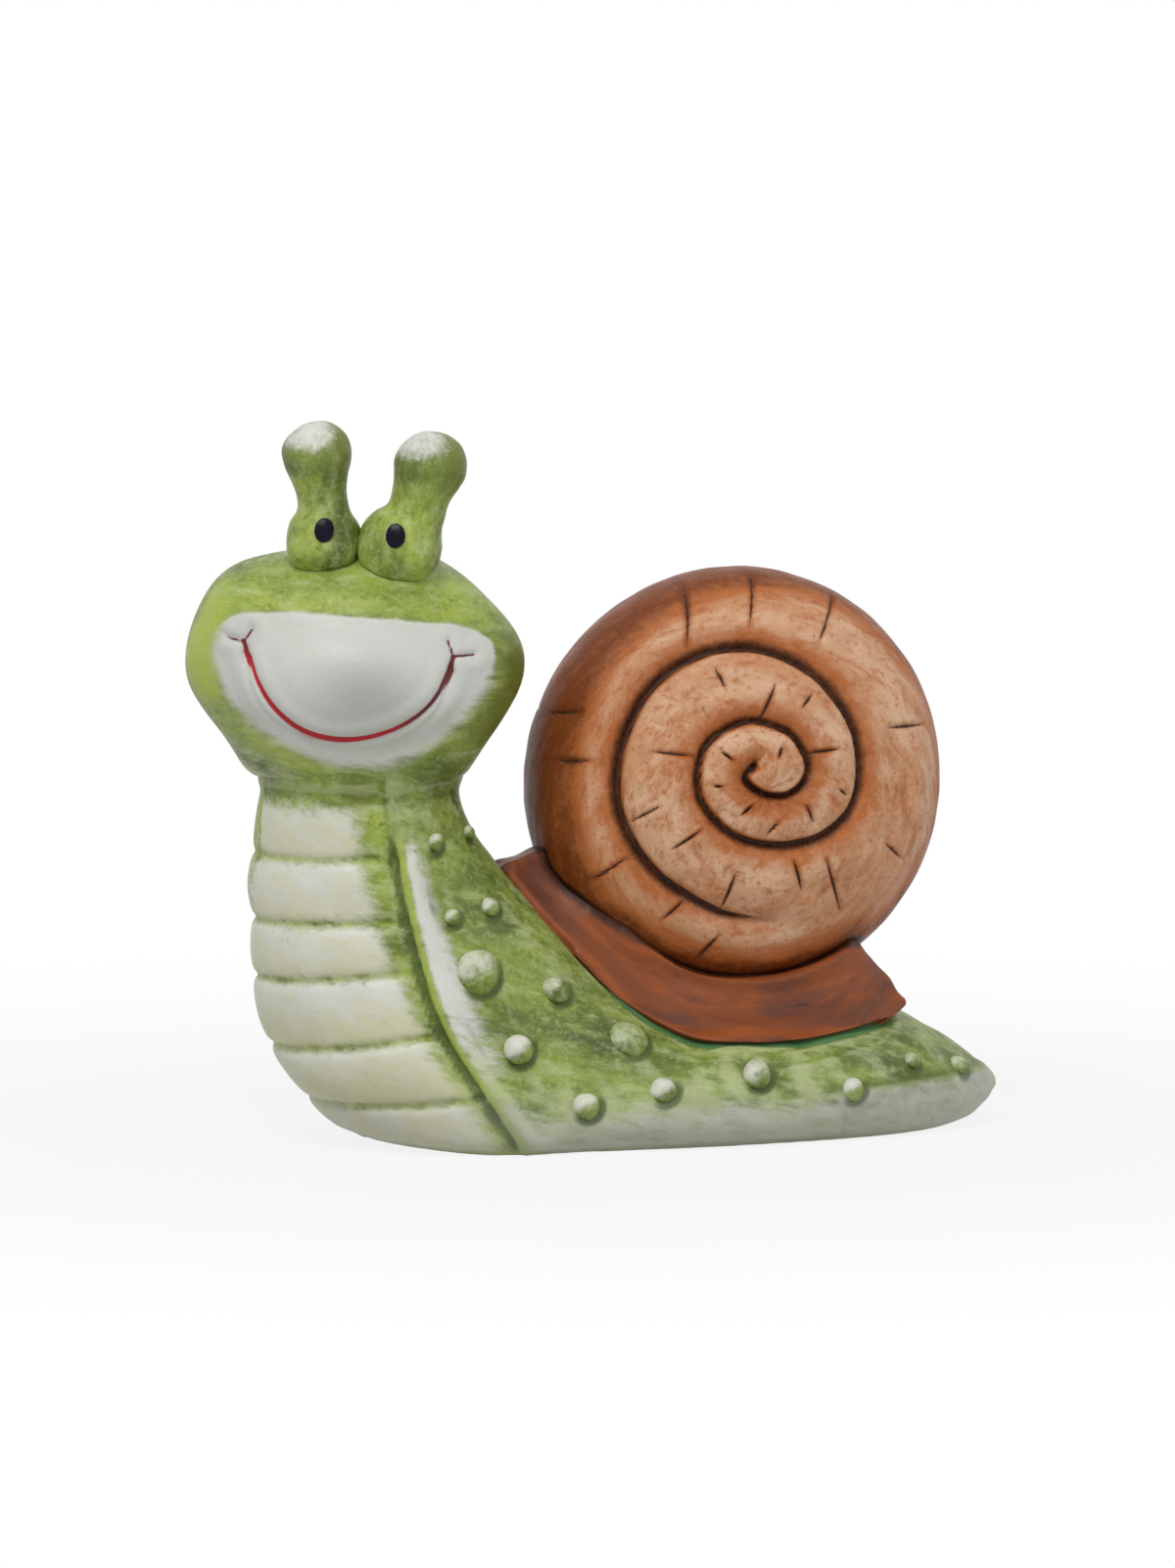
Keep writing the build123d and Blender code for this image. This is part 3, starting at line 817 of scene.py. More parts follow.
@dataclass
class Body:
    """The foot, chest and neck, with a ribbed belly framed by a raised hem."""

    length: float = 160.5
    neck_height: float = 76.0
    neck_overlap: float = 6.0
    grain: float = 0.75
    near_hem: tuple = ((-0.316, 1.050), (-0.313, 0.790), (-0.278, 0.421), (-0.234, 0.224), (-0.144, -0.040))
    far_hem: tuple = ((-0.422, 1.050), (-0.410, 0.658), (-0.372, 0.474), (-0.310, 0.316), (-0.148, -0.040))
    creases: tuple = ((0.789, 0.807), (0.611, 0.642), (0.445, 0.520), (0.239, 0.351), (0.074, 0.161))
    crease_front: float = -0.520
    crease_rear: float = -0.210
    lowest_rib: float = -14.0
    highest_rib: float = 1.02
    rib_bulge: float = 0.8
    crease_depth: float = 0.5
    hem_rise: float = 0.8
    gutter_depth: float = 0.9
    ridge_rise: float = 0.5
    sole_band: float = 8.5
    tail_band: float = 11.0
    chin_tuck: float = 1.7
    neck_lean: float = 1.2
    chest_tuck: tuple = ((0, 1.5), (6, 1.6), (16, 1.3), (26, 0.7), (40, 0.1), (48, 0.4), (58, 1.0), (68, 0.2))
    saddle_bed: float = 0.5
    neck_fillet: float = 0.7

    def band_top(self, points: np.ndarray) -> np.ndarray:
        """How high the pale band above the sole reaches, in millimetres."""
        return self.sole_band + (self.tail_band - self.sole_band) * ramp(15, 65, points[:, 0])

    def beside_hem(self, points: np.ndarray) -> np.ndarray:
        """How far each point is behind the belly's edge, in side view.

        Args:
            points: places in millimetres.

        Returns:
            Millimetres, negative on the belly.
        """
        scale = np.array([self.length, self.neck_height])
        near, far = (
            -beside_line(points[:, [0, 2]], flowing(hem) * scale)[0] for hem in (self.near_hem, self.far_hem)
        )
        return np.where(points[:, 1] < 0, near, far)

    def rib_places(self, points: np.ndarray) -> tuple[np.ndarray, np.ndarray]:
        """Where each point lies among the belly's ribs.

        Args:
            points: places in millimetres.

        Returns:
            The distance to the nearest crease, and the share of the way up the point's own rib.
        """
        height = points[:, 2]
        span = (self.crease_rear - self.crease_front) * self.length
        share = (points[:, 0] - self.crease_front * self.length) / span
        levels = [np.full(len(points), self.lowest_rib)]
        for chest, flank in reversed(self.creases):
            levels.append((chest + (flank - chest) * share) * self.neck_height)
        levels.append(np.full(len(points), self.highest_rib * self.neck_height))
        nearest = np.min([np.abs(height - level) for level in levels[1:-1]], axis=0)
        way_up = np.zeros(len(points))
        for low, high in zip(levels, levels[1:]):
            inside = (height >= low) & (height < high)
            way_up[inside] = ((height - low) / (high - low))[inside]
        return nearest, way_up

    def build(self, glaze: bpy.types.Material) -> None:
        """Makes, carves and paints the body.

        Args:
            glaze: the green wash.
        """
        skin = outer_skin("body")
        level = (self.neck_height - 0.1) * MM
        top = [face for face in skin.faces if face.normal.z > 0.9 and face.calc_center_median().z > level]
        grown = bmesh.ops.extrude_face_region(skin, geom=top)
        raised = [item for item in grown["geom"] if isinstance(item, bmesh.types.BMVert)]
        bmesh.ops.translate(skin, verts=raised, vec=(0, 0, self.neck_overlap * MM))
        bmesh.ops.delete(skin, geom=top, context="FACES")
        piece = remeshed(skin, "snail_body", self.grain, 5)
        saddle_gap = piece.nearness(4, "saddle")
        points = piece.points()
        lean = self.chin_tuck * ramp(-52, -68, points[:, 0]) - self.neck_lean
        points[:, 0] += ramp(58, 74, points[:, 2]) * lean
        piece.place(points)
        below, holds = below_saddle(points)
        piece.melt(holds * ramp(-1.0, 0.5, below) * ramp(7, 5, below) * ramp(2.5, 1.0, saddle_gap), 30)
        points = piece.points()
        height = points[:, 2]
        hem = self.beside_hem(points)
        near_crease, way_up = self.rib_places(points)
        head_gap = piece.nearness(14, "head")
        belly = ramp(-0.5, -4.0, hem)
        pillow = np.clip(4 * way_up * (1 - way_up), 0, 1) * (0.75 + 0.5 * way_up)
        gutter = self.gutter_depth * (0.3 + 0.7 * ramp(4, 24, height))
        ridge = bell(height - self.band_top(points), 1.2) * ramp(30, 60, points[:, 0])
        ribbed = self.rib_bulge * pillow - self.crease_depth * bell(near_crease, 1.1)
        framed = self.hem_rise * bell(hem - 2.6, 2.0) - gutter * bell(hem + 0.4, 0.9)
        heights = ramp(-1.0, -8.0, hem) * ribbed + ramp(70, 58, height) * framed
        heights += (1 - belly) * (0.22 * lumps(points, 9, 11) + 0.12 * lumps(points, 3.5, 12))
        heights += 0.14 * lumps(points, 5, 13) + self.ridge_rise * ridge
        heights -= self.saddle_bed * ramp(2.0, 0.4, saddle_gap) * (1 - holds * ramp(0.5, 2.0, below))
        heights += self.neck_fillet * ramp(3.5, 0.3, head_gap)
        tuck = ramp(-3, -22, hem) * np.interp(height, *np.array(self.chest_tuck).T)
        piece.place(points - tuck[:, None] * piece.relaxed(piece.normals(), 25))
        piece.press(heights * ramp(0.5, 3.0, height))
        self.paint(piece, hem, near_crease, way_up, belly, saddle_gap, head_gap)
        piece.dress(glaze, "body_green", "body")

    def wart_shade(self, points: np.ndarray) -> np.ndarray:
        """The dark crescent painted at the lower rear of each wart: a painted shadow, with fainter painted
        shade all round its foot.

        Args:
            points: places on the body, in millimetres.

        Returns:
            1 in the crescents, 0 elsewhere.
        """
        shade = np.zeros(len(points))
        for seat in wart_seats("near_warts") + wart_seats("far_warts"):
            offset = points - seat.centre
            distance = np.maximum(np.linalg.norm(offset, axis=1), 0.01)
            below = (offset @ np.array([0.6, 0.0, -0.8])) / distance
            ring = ramp(seat.radius + 2.3, seat.radius + 0.7, distance)
            shade = np.maximum(shade, ring * (0.25 + 0.85 * ramp(-0.3, 0.6, below)))
        return shade

    def paint(
        self, piece: Clay, hem: np.ndarray, near_crease: np.ndarray, way_up: np.ndarray, belly: np.ndarray,
        saddle_gap: np.ndarray, head_gap: np.ndarray,
    ) -> None:
        """Stores the layers that the green wash reads.

        Args:
            piece: the carved body.
            hem: millimetres behind the belly's edge.
            near_crease: millimetres to the nearest crease.
            way_up: the share of the way up each rib.
            belly: 1 on the belly, 0 elsewhere.
            saddle_gap, head_gap: millimetres to the saddle and to the head.
        """
        points = piece.points()
        along, across, height = points.T
        hollow = piece.hollowness(6)
        wobble = lumps(points, 7, 21)
        below, holds = below_saddle(points)
        rib_end = 0.2 + 4.0 * ramp(22, 60, height)
        ribs = ramp(-0.5, 6.5, -hem - rib_end) * ramp(1.5, 8, head_gap) * (hem < 0)
        strip_width = 4.5 + 3.5 * ramp(62, 25, height)
        strip = ramp(0.8, 2.2, hem) * ramp(strip_width + 4.0, strip_width - 2.5, hem)
        strip *= ramp(69, 60, height) * (0.2 + 0.8 * ramp(10, 34, height))
        loose = ramp(60, 15, along)
        above = height + wobble * loose - self.band_top(points)
        band = np.clip(0.5 - above / (1.4 + 6.0 * loose), 0, 1)
        white = np.maximum.reduce((ribs, 0.95 * strip, 0.72 * band * (hem > 0), 0.4 * ramp(80, 84, along)))
        lime_lines = (
            1.1 * bell(hem - 0.7, 0.8) * ramp(74, 60, height),
            0.65 * bell(near_crease + 0.2, 1.3) * belly,
            ramp(2.0, 0.2, height),
            0.4 * ramp(-8, -3, hem) * belly,
        )
        # Painted shade: deep green in the belly's edge and creases, under the head, in hollows and just above
        # the pale band towards the tail, with a painted shadow under each wart.
        crevice_shades = (
            bell(hem + 0.35, 0.55) * (0.5 + 0.35 * ramp(50, 20, height)) * ramp(2, 20, height),
            self.wart_shade(points),
            0.55 * ramp(7, 1, head_gap),
            0.4 * bell(near_crease, 0.6) * ramp(-14, -4, hem) * belly,
            0.75 * bell(above - 1.3, 1.3) * ramp(20, 50, along),
            np.clip(hollow / 0.12, 0, 0.9) * (1 - belly),
        )
        creamy = np.where(hem < 0, 0.25 + 0.45 * (1 - way_up) + 0.3 * ramp(40, 5, height), 0.15)
        # olive: mottled and darker towards the tail, plus painted shade on the neck under the head.
        olive = 0.5 * ramp(0.9, 1.6, wobble) + 0.3 * ramp(30, 60, along) + 0.35 * ramp(9, 2, head_gap)
        pale_foot = 0.5 * ramp(24, 11, height) * ramp(55, 25, along) * (1 - belly)
        piece.paint(
            np.stack((0.35 * along, across, height + 0.2 * along), axis=1),
            white=white * (1 - 0.45 * bell(near_crease, 1.3) * belly),
            creamy=np.maximum(creamy, 0.5 * band),
            lime_line=np.maximum.reduce(lime_lines),
            crevice_shade=np.maximum.reduce(crevice_shades),
            fresh=0.25 + 0.3 * ramp(-8, -2, hem) * belly,
            sea_line=ramp(2.0, 0.5, saddle_gap) * (1 - holds * ramp(1.0, 2.1, below)),
            olive=olive,
            # dim: painted shade that greys the pale band above the sole and the lowest belly.
            dim=np.where(hem > 0, 0.75 * band, 0.35 * ramp(22, 4, height)),
            raised=np.clip(-hollow / 0.06, 0, 0.7) + pale_foot,
        )


@dataclass
class Head:
    """The wide head with its pale muzzle and carved smile."""

    turn: float = 21.0
    roll: float = 4.5
    centre: tuple = (-52.7, 0.3, 99.5)
    grain: float = 0.5
    muzzle: tuple = (
        (-29.3, 0.7), (-27.9, 4.9), (-23.5, 9.0), (-18.4, 10.2), (-10.1, 11.4), (-2.0, 11.4), (7.8, 11.6),
        (15.2, 11.3), (21.8, 11.2), (27.0, 9.1), (29.2, 5.7), (28.4, 0.1), (25.0, -5.9), (20.4, -11.7),
        (13.1, -17.1), (3.8, -19.6), (-6.1, -18.7), (-13.3, -15.7), (-19.9, -11.6), (-25.2, -6.1),
    )
    smile: tuple = (
        (-22.1, 4.3), (-20.2, 0.1), (-18.0, -4.0), (-14.7, -8.3), (-10.4, -11.8), (-5.7, -13.7), (0.1, -14.0),
        (5.8, -12.8), (11.4, -10.3), (15.7, -7.1), (18.8, -3.3), (20.6, 1.2), (21.4, 4.9),
    )
    dimples: tuple = (
        ((-25.4, 4.6), (-22.1, 4.1)), ((-22.1, 4.1), (-20.4, 6.8)),
        ((20.0, 8.1), (21.4, 4.9)), ((21.4, 4.9), (25.5, 5.4)),
    )
    smile_depth: float = 0.9
    smile_width: float = 0.85
    eye_fillet: float = 0.5
    corners: tuple = ((-27.0, 15.0, 1.2), (27.0, 14.0, -0.9))

    def face_places(self, points: np.ndarray) -> tuple[np.ndarray, np.ndarray]:
        """Places across and up the face, and how far out of its middle they are.

        Args:
            points: places in millimetres.

        Returns:
            The flat places, one row each, and the distance out.
        """
        turn, roll = math.radians(self.turn), math.radians(self.roll)
        level = np.array([math.cos(turn), -math.sin(turn), 0.0])
        upright = np.array([0.0, 0.0, 1.0])
        across = level * math.cos(roll) - upright * math.sin(roll)
        up = level * math.sin(roll) + upright * math.cos(roll)
        out = np.array([-math.sin(turn), -math.cos(turn), 0.0])
        offset = points - np.array(self.centre)
        return np.stack((offset @ across, offset @ up), axis=1), offset @ out

    def build(self, glaze: bpy.types.Material) -> None:
        """Makes, carves and paints the head.

        Args:
            glaze: the green wash.
        """
        piece = remeshed(outer_skin("head"), "snail_head", self.grain, 14)
        points = piece.points()
        face, out = self.face_places(points)
        front = ramp(2, 10, out)
        smile, along = beside_line(face, flowing(self.smile))
        smile = np.abs(smile)
        for stroke in self.dimples:
            smile = np.minimum(smile, 0.25 + np.abs(beside_line(face, np.array(stroke))[0]))
        loop = flowing(self.muzzle + self.muzzle[:1])
        muzzle = np.abs(beside_line(face, loop)[0]) * np.where(self.inside(face, loop), 1, -1)
        piece.melt(ramp(7.0, 4.0, smile) * front, 60)
        eye_gap = piece.nearness(5, "left_eye", "right_eye")
        cut = bell(smile, self.smile_width * (1 - 0.3 * ramp(0.6, 0.85, along)))
        heights = (0.35 * bell(smile - 2.4, 1.6) - self.smile_depth * cut) * front
        heights += self.eye_fillet * ramp(1.4, 0.2, eye_gap)
        heights += 0.22 * lumps(points, 9, 31) + 0.10 * lumps(points, 3.5, 32) * ramp(1, -2, muzzle * front)
        for across, up, rise in self.corners:
            heights += rise * bell(np.hypot(face[:, 0] - across, face[:, 1] - up), 9.0)
        piece.press(heights)
        self.paint(piece, muzzle, smile, along, front)
        piece.dress(glaze, "head_green", "head")

    def inside(self, face: np.ndarray, loop: np.ndarray) -> np.ndarray:
        """Tells which places lie inside a closed loop.

        Args:
            face: flat places.
            loop: the loop's points, the last the same as the first.

        Returns:
            True for each place inside.
        """
        crossings = np.zeros(len(face), dtype=int)
        for (x0, y0), (x1, y1) in zip(loop, loop[1:]):
            spans = (face[:, 1] < y0) != (face[:, 1] < y1)
            if y1 != y0:
                reach = x0 + (face[:, 1] - y0) * (x1 - x0) / (y1 - y0)
                crossings += spans & (face[:, 0] < reach)
        return crossings % 2 == 1

    def paint(
        self, piece: Clay, muzzle: np.ndarray, smile: np.ndarray, along: np.ndarray, front: np.ndarray
    ) -> None:
        """Stores the layers that the green wash reads.

        Args:
            piece: the carved head.
            muzzle: millimetres inside the muzzle's edge.
            smile: millimetres to the carved smile.
            along: how far along the smile, from 0 to 1.
            front: 1 on the face, 0 at the back.
        """
        points = piece.points()
        face, out = self.face_places(points)
        across, up = face.T
        neck = ramp(84, 77, points[:, 2])
        hollow = piece.hollowness(8)
        white = np.clip(0.55 + muzzle / (1.1 + 3.4 * ramp(7, -4, up)), 0, 1.3) * front
        brow = ramp(10, 13, up) * ramp(23, 19, up) * ramp(30, 18, np.abs(across - 2)) * front
        # The left cheek and jaw are painted lighter, the right cheek and the lower right of the jaw olive, as
        # light from the left falls: partly paint, partly painted highlight and painted shade.
        lit_left_cheek = ramp(-24, -30, across) * ramp(-16, -4, up) * front
        shaded_right_cheek = ramp(22, 31, across) * ramp(16, 4, up)
        jaw = ramp(-15, -22, up)
        lit_left_jaw = ramp(-12, -20, up) * ramp(4, -10, across)
        # Painted shade under the eye bulbs, and along the bottom of the head towards the right.
        shade_under_eyes = ramp(1.1, 0.2, piece.nearness(5, "left_eye", "right_eye")) * ramp(0, 6, out)
        piece.paint(
            np.stack((0.3 * across, 0.3 * points[:, 1], up), axis=1),
            white=np.maximum(white, 0.3 * lit_left_cheek + 0.3 * lit_left_jaw),
            # dim: painted shade in the middle of the muzzle.
            dim=white * (0.35 + 0.65 * ramp(16, 0, np.hypot(across - 4, 1.3 * (up + 3)))),
            creamy=0.1 + 0.5 * ramp(8, -18, muzzle) * ramp(0, -16, up),
            lime_line=0.45 * bell(muzzle + 1.5, 2.5) * front + 0.85 * lit_left_cheek + 0.4 * lit_left_jaw,
            crevice_shade=np.maximum(0.8 * shade_under_eyes, 0.5 * neck * ramp(-10, 10, across)),
            fresh=0.35 + 0.25 * brow + 0.5 * lit_left_cheek - 0.3 * shaded_right_cheek - 0.1 * jaw,
            olive=np.maximum.reduce((0.95 * shaded_right_cheek, 0.5 * jaw * ramp(-10, 20, across), 0.3 * brow)),
            raised=np.clip(-hollow / 0.08, 0, 0.6) + 0.2 * brow + 0.2 * lit_left_cheek + 0.4 * lit_left_jaw,
            lip=bell(smile, 0.55 + 0.4 * bell(along - 0.4, 0.17)) * front,
            lip_shade=ramp(0.62, 0.8, along) * 0.9 + ramp(0.08, 0.0, along) * 0.8,
        )


@dataclass
class Feelers:
    """Two eye bulbs, each with a waisted, ball-ended feeler on top."""

    grain: float = 0.38
    settle: float = 0.9
    settle_length: float = 22.0
    jowl: float = 0.9

    def build(self, glaze: bpy.types.Material) -> None:
        """Makes and paints the bulbs and the feelers.

        Args:
            glaze: the green wash.
        """
        for seed, side in enumerate(("left", "right")):
            eye, stalk = f"{side}_eye", f"{side}_stalk"
            joined = bmesh.new()
            for node in (eye, stalk):
                skin, lump = outer_skin(node), bpy.data.meshes.new("lump")
                skin.to_mesh(lump)
                skin.free()
                joined.from_mesh(lump)
                bpy.data.meshes.remove(lump)
            piece = remeshed(joined, f"snail_{side}_feeler", self.grain, 6)
            seam = np.maximum(piece.nearness(4, eye), piece.nearness(4, stalk))
            piece.melt(ramp(3.0, 0.5, seam), 40)
            points = piece.points()
            top = points[:, 2].max()
            points[:, 2] -= self.settle * ramp(top - self.settle_length, top, points[:, 2])
            piece.place(points)
            middle = np.mean(box_of(eye), axis=0)[2]
            heights = self.jowl * ramp(middle + 1, middle - 5, points[:, 2]) * self.front(piece)
            heights += 0.12 * lumps(points, 4, 40 + seed) + 0.05 * lumps(points, 1.6, 43 + seed)
            piece.press(heights)
            self.paint(piece, stalk)
            piece.dress(glaze, "feeler_green", eye, stalk)

    def front(self, piece: Clay) -> np.ndarray:
        """1 where the surface looks the way the face does, 0 at the back."""
        return ramp(0.0, 0.5, piece.normals() @ np.array([-0.36, -0.93, 0.0]))

    def paint(self, piece: Clay, stalk: str) -> None:
        """Stores the layers that the green wash reads.

        Args:
            piece: the bulb with its feeler.
            stalk: the feeler's CAD node.
        """
        points = piece.points()
        low, high = box_of(stalk)
        aside = points[:, 0] - (low[0] + high[0]) / 2
        height = points[:, 2] - high[2]
        ball = ramp(-13, -9, height)
        # lit faces the key lamp: the white tips and the sage on that side are partly dry-brushed white,
        # partly painted highlight.
        lit = piece.normals() @ np.array([-0.45, -0.35, 0.82])
        piece.paint(
            points * np.array([1.0, 1.0, 0.6]),
            white=0.85 * ramp(0.2, 1.1, lit) * ramp(-10, -4, height),
            creamy=0.2,
            lime_line=0.35 * ramp(4, -4, aside) * (1 - ball),
            # Painted shade where the bulb meets the head.
            crevice_shade=ramp(1.1, 0.2, piece.nearness(3, "head")) * (0.3 + 0.6 * self.front(piece)),
            # Lighter on the left side and olive on the right: partly paint, partly painted light and shade;
            # the ball is olive all round.
            fresh=0.3 - 0.35 * ball + 0.2 * ramp(2, -4, aside),
            olive=0.55 * ramp(-1.0, 5.0, aside) + 0.6 * ball,
            raised=0.35 * ramp(0.2, 0.9, lit),
        )


@dataclass
class Pupils:
    """Two oval drops of enamel."""

    grain: float = 0.16
    lift: tuple = (0.0, -0.05, 0.6)

    def build(self, glaze: bpy.types.Material) -> None:
        """Makes the drops.

        Args:
            glaze: the enamel.
        """
        for node in ("left_pupil", "right_pupil"):
            piece = remeshed(outer_skin(node), f"snail_{node}", self.grain, 5)
            piece.place(piece.points() + np.array(self.lift))
            piece.dress(glaze, "pupil_enamel", node)


@dataclass
class Shell:
    """A disc of round whorls, carved with a spiral and short cracks on both sides."""

    rim_radius: float = 16.0
    rings: int = 190
    spokes: int = 500
    spiral: tuple = (
        (-2.2, 5.3), (-3.9, 3.1), (-2.6, 1.1), (0.8, -0.6), (4.8, -0.8), (8.2, 1.3), (9.6, 4.5), (8.3, 8.4),
        (5.0, 12.3), (-3.6, 14.6), (-12.3, 9.7), (-13.7, -0.5), (-7.1, -8.4), (3.0, -11.4), (13.9, -9.3),
        (20.8, -1.9), (20.9, 10.3), (13.7, 22.0), (1.9, 28.8), (-11.2, 28.6), (-23.1, 21.2), (-29.5, 8.0),
        (-29.3, -4.8), (-22.1, -16.6), (-10.2, -24.4), (-3.4, -26.6), (3.2, -27.9),
    )
    cracks: tuple = (
        (-12.5, 41.2, -14.6, 30.2), (1.8, 42.6, -0.9, 34.1), (19.0, 37.6, 13.6, 29.5),
        (-40.7, 15.7, -36.1, 16.9), (-41.3, 6.4, -34.9, 6.9), (28.4, 11.6, 37.4, 11.4),
        (-9.6, 25.8, -7.7, 21.5), (2.8, 21.7, -0.4, 15.3), (10.9, 19.5, 8.5, 17.1),
        (-23.0, 8.8, -15.4, 7.9), (10.2, 7.7, 16.2, 8.2), (3.6, 9.2, 2.9, 7.0),
        (-2.9, -2.7, -5.1, -4.5), (9.0, -3.2, 10.8, -6.9), (3.0, -6.3, 0.6, -9.0), (16.4, -0.1, 18.2, -1.5),
        (-27.3, -5.6, -22.0, -2.4), (-19.3, -11.5, -13.8, -7.6), (-33.7, -17.6, -28.2, -13.5),
        (-6.2, -17.0, -8.2, -24.2), (6.7, -14.8, 8.6, -20.9), (13.7, -14.6, 18.1, -25.8),
        (28.0, -12.4, 32.3, -16.0), (-19.9, -26.4, -16.2, -23.1), (-8.1, -29.9, -11.6, -34.6),
        (-9.3, 8.7, -7.1, 6.9), (-11.1, 1.6, -9.3, 1.5),
    )
    faint_cracks: tuple = ((-13.5, 18.5, -11.2, 15.0), (-23.0, 14.8, -20.6, 14.2))
    groove_depth: float = 2.0
    tip_share: float = 0.09
    crack_depth: float = 0.8
    whorl_rise: float = 1.3
    rim_swell: float = 0.15

    def blank(self) -> Clay:
        """Turns the plain disc, as large as its CAD node.

        Returns:
            The uncarved piece.
        """
        low, high = (np.array(corner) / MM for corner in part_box("shell"))
        reach, half = (high[0] - low[0]) / 2, (high[1] - low[1]) / 2
        rim = self.rim_radius
        dome = (reach**2 - 2 * reach * rim + half**2) / (2 * (half - rim))
        join = math.atan2(reach - rim, dome - half)
        dome_share = dome * join / (dome * join + rim * (math.pi / 2 - join))
        turned = bmesh.new()
        profile = []
        for index in range(self.rings + 1):
            share = abs(2 * index / self.rings - 1)
            side = -1 if 2 * index < self.rings else 1
            if 1 - share < dome_share:
                angle = join * (1 - share) / dome_share
                place = (dome * math.sin(angle), side * (half - dome + dome * math.cos(angle)))
            else:
                angle = join + (math.pi / 2 - join) * (1 - share - dome_share) / (1 - dome_share)
                place = (reach - rim + rim * math.sin(angle), side * rim * math.cos(angle))
            profile.append(turned.verts.new(Vector((*place, 0)) * MM))
        runs = [turned.edges.new(pair) for pair in zip(profile, profile[1:])]
        bmesh.ops.spin(
            turned, geom=profile + runs, cent=(0, 0, 0), axis=(0, 1, 0), angle=2 * math.pi,
            steps=self.spokes, use_merge=True, use_duplicate=False,
        )
        bmesh.ops.remove_doubles(turned, verts=turned.verts, dist=0.01 * MM)
        bmesh.ops.recalc_face_normals(turned, faces=turned.faces)
        bmesh.ops.translate(turned, verts=turned.verts, vec=Vector((low + high) / 2) * MM)
        mesh = bpy.data.meshes.new("snail_shell")
        turned.to_mesh(mesh)
        turned.free()
        return Clay("snail_shell", mesh)

    def crack_gap(self, flat: np.ndarray, cracks: tuple) -> np.ndarray:
        """How far places are from the nearest crack.

        Args:
            flat: places on the shell's face, from its axis.
            cracks: the two ends of each crack.

        Returns:
            Millimetres, a little more at the cracks' ends.
        """
        gap = np.full(len(flat), 9.0)
        for x0, z0, x1, z1 in cracks:
            signed, along = beside_line(flat, np.array(((x0, z0), (x1, z1))))
            gap = np.minimum(gap, np.abs(signed) + 0.25 * np.abs(2 * along - 1) ** 2)
        return gap

    def build(self, glaze: bpy.types.Material) -> None:
        """Makes, carves and paints the shell.

        Args:
            glaze: the shell's stain.
        """
        piece = self.blank()
        points = piece.points()
        flat = (points - shell_centre())[:, [0, 2]]
        radius = np.hypot(*flat.T)
        outward, along = beside_line(flat, flowing(self.spiral, 6))
        face = ramp(43, 36, radius)
        tip = np.sqrt(np.clip((1 - along) / self.tip_share, 0.0, 1))
        width = (0.75 + 0.40 * ramp(0.05, 0.6, along)) * tip + 0.02
        slope = np.where(outward < 0, 0.60 * width, 1.7 * width)
        steepness = np.where(outward < 0, 2.0, 1.3)
        groove = np.exp(-np.abs(outward / slope) ** steepness) * np.minimum(tip * 1.5, 1)
        pillow = (1 - (1 - np.clip(np.abs(outward) / 6.5, 0, 1)) ** 2) * face
        crack = self.crack_gap(flat, self.cracks)
        faint = self.crack_gap(flat, self.faint_cracks)
        heights = self.whorl_rise * (pillow - 1) * face - self.groove_depth * groove
        heights -= (self.crack_depth * bell(crack, 0.45) + 0.3 * bell(faint, 0.4)) * ramp(45, 40, radius)
        heights += (0.05 + 0.17 * face) * lumps(points, 8, 51) + (0.04 + 0.06 * face) * lumps(points, 2.8, 52)
        piece.press(heights + self.rim_swell * ramp(36, 43, radius))
        self.paint(piece, outward / (0.4 + 0.6 * tip), width, tip, radius, crack, faint)
        piece.dress(glaze, "shell_tan", "shell")

    def paint(
        self, piece: Clay, outward: np.ndarray, width: np.ndarray, tip: np.ndarray,
        radius: np.ndarray, crack: np.ndarray, faint: np.ndarray,
    ) -> None:
        """Stores the layers that the shell's stain reads.

        Args:
            piece: the carved shell.
            outward: millimetres outside the spiral groove.
            width: half the groove's width in millimetres.
            tip: 1 along the groove, falling to 0 at its end.
            radius: millimetres from the shell's axis.
            crack, faint: millimetres to the nearest crack of each kind.
        """
        offset = piece.points() - shell_centre()
        angle = np.arctan2(offset[:, 2], offset[:, 0])
        # Painted shade: the rim darkens and its rust widens towards the lower left, where it turns away from
        # the light.
        low_left_shade = 0.5 + 0.5 * np.cos(angle - math.radians(205))
        saddle_gap = piece.nearness(12, "saddle")
        groove = ramp(-0.9, -0.3, outward) * ramp(2.2 * width + 0.6, 0.5 * width, outward)
        outer = ramp(8.0, 0.5, outward) * (outward > 0)
        inner = ramp(-1.6, -0.4, outward) * (outward <= 0)
        edge = ramp(38.5 - 6 * low_left_shade, 44.0 - 3 * low_left_shade, radius)
        along_groove = tip * np.maximum(0.95 * outer, inner)
        stain = np.maximum.reduce((along_groove, 1.45 * edge, 1.4 * ramp(10, 1, saddle_gap)))
        stain += 0.45 * ramp(1.5, 0.3, crack) - 0.35 * bell(outward + 2.6, 1.4) + 0.2 * ramp(15, 8, radius)
        darks = (
            0.9 * groove * np.minimum(1.6 * tip, 1),
            ramp(0.55, 0.15, crack),
            0.6 * ramp(0.45, 0.1, faint),
            ramp(2.2, 0.2, saddle_gap),
            0.65 * low_left_shade**4 * ramp(41.0, 44.6, radius),
        )
        strokes = np.stack((12 * np.cos(angle), 12 * np.sin(angle) + offset[:, 1], radius), axis=1)
        piece.paint(strokes, stain=stain, dark=np.maximum.reduce(darks))


def shell_centre() -> np.ndarray:
    """The middle of the shell, in millimetres."""
    return np.array(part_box("shell")).mean(axis=0) / MM


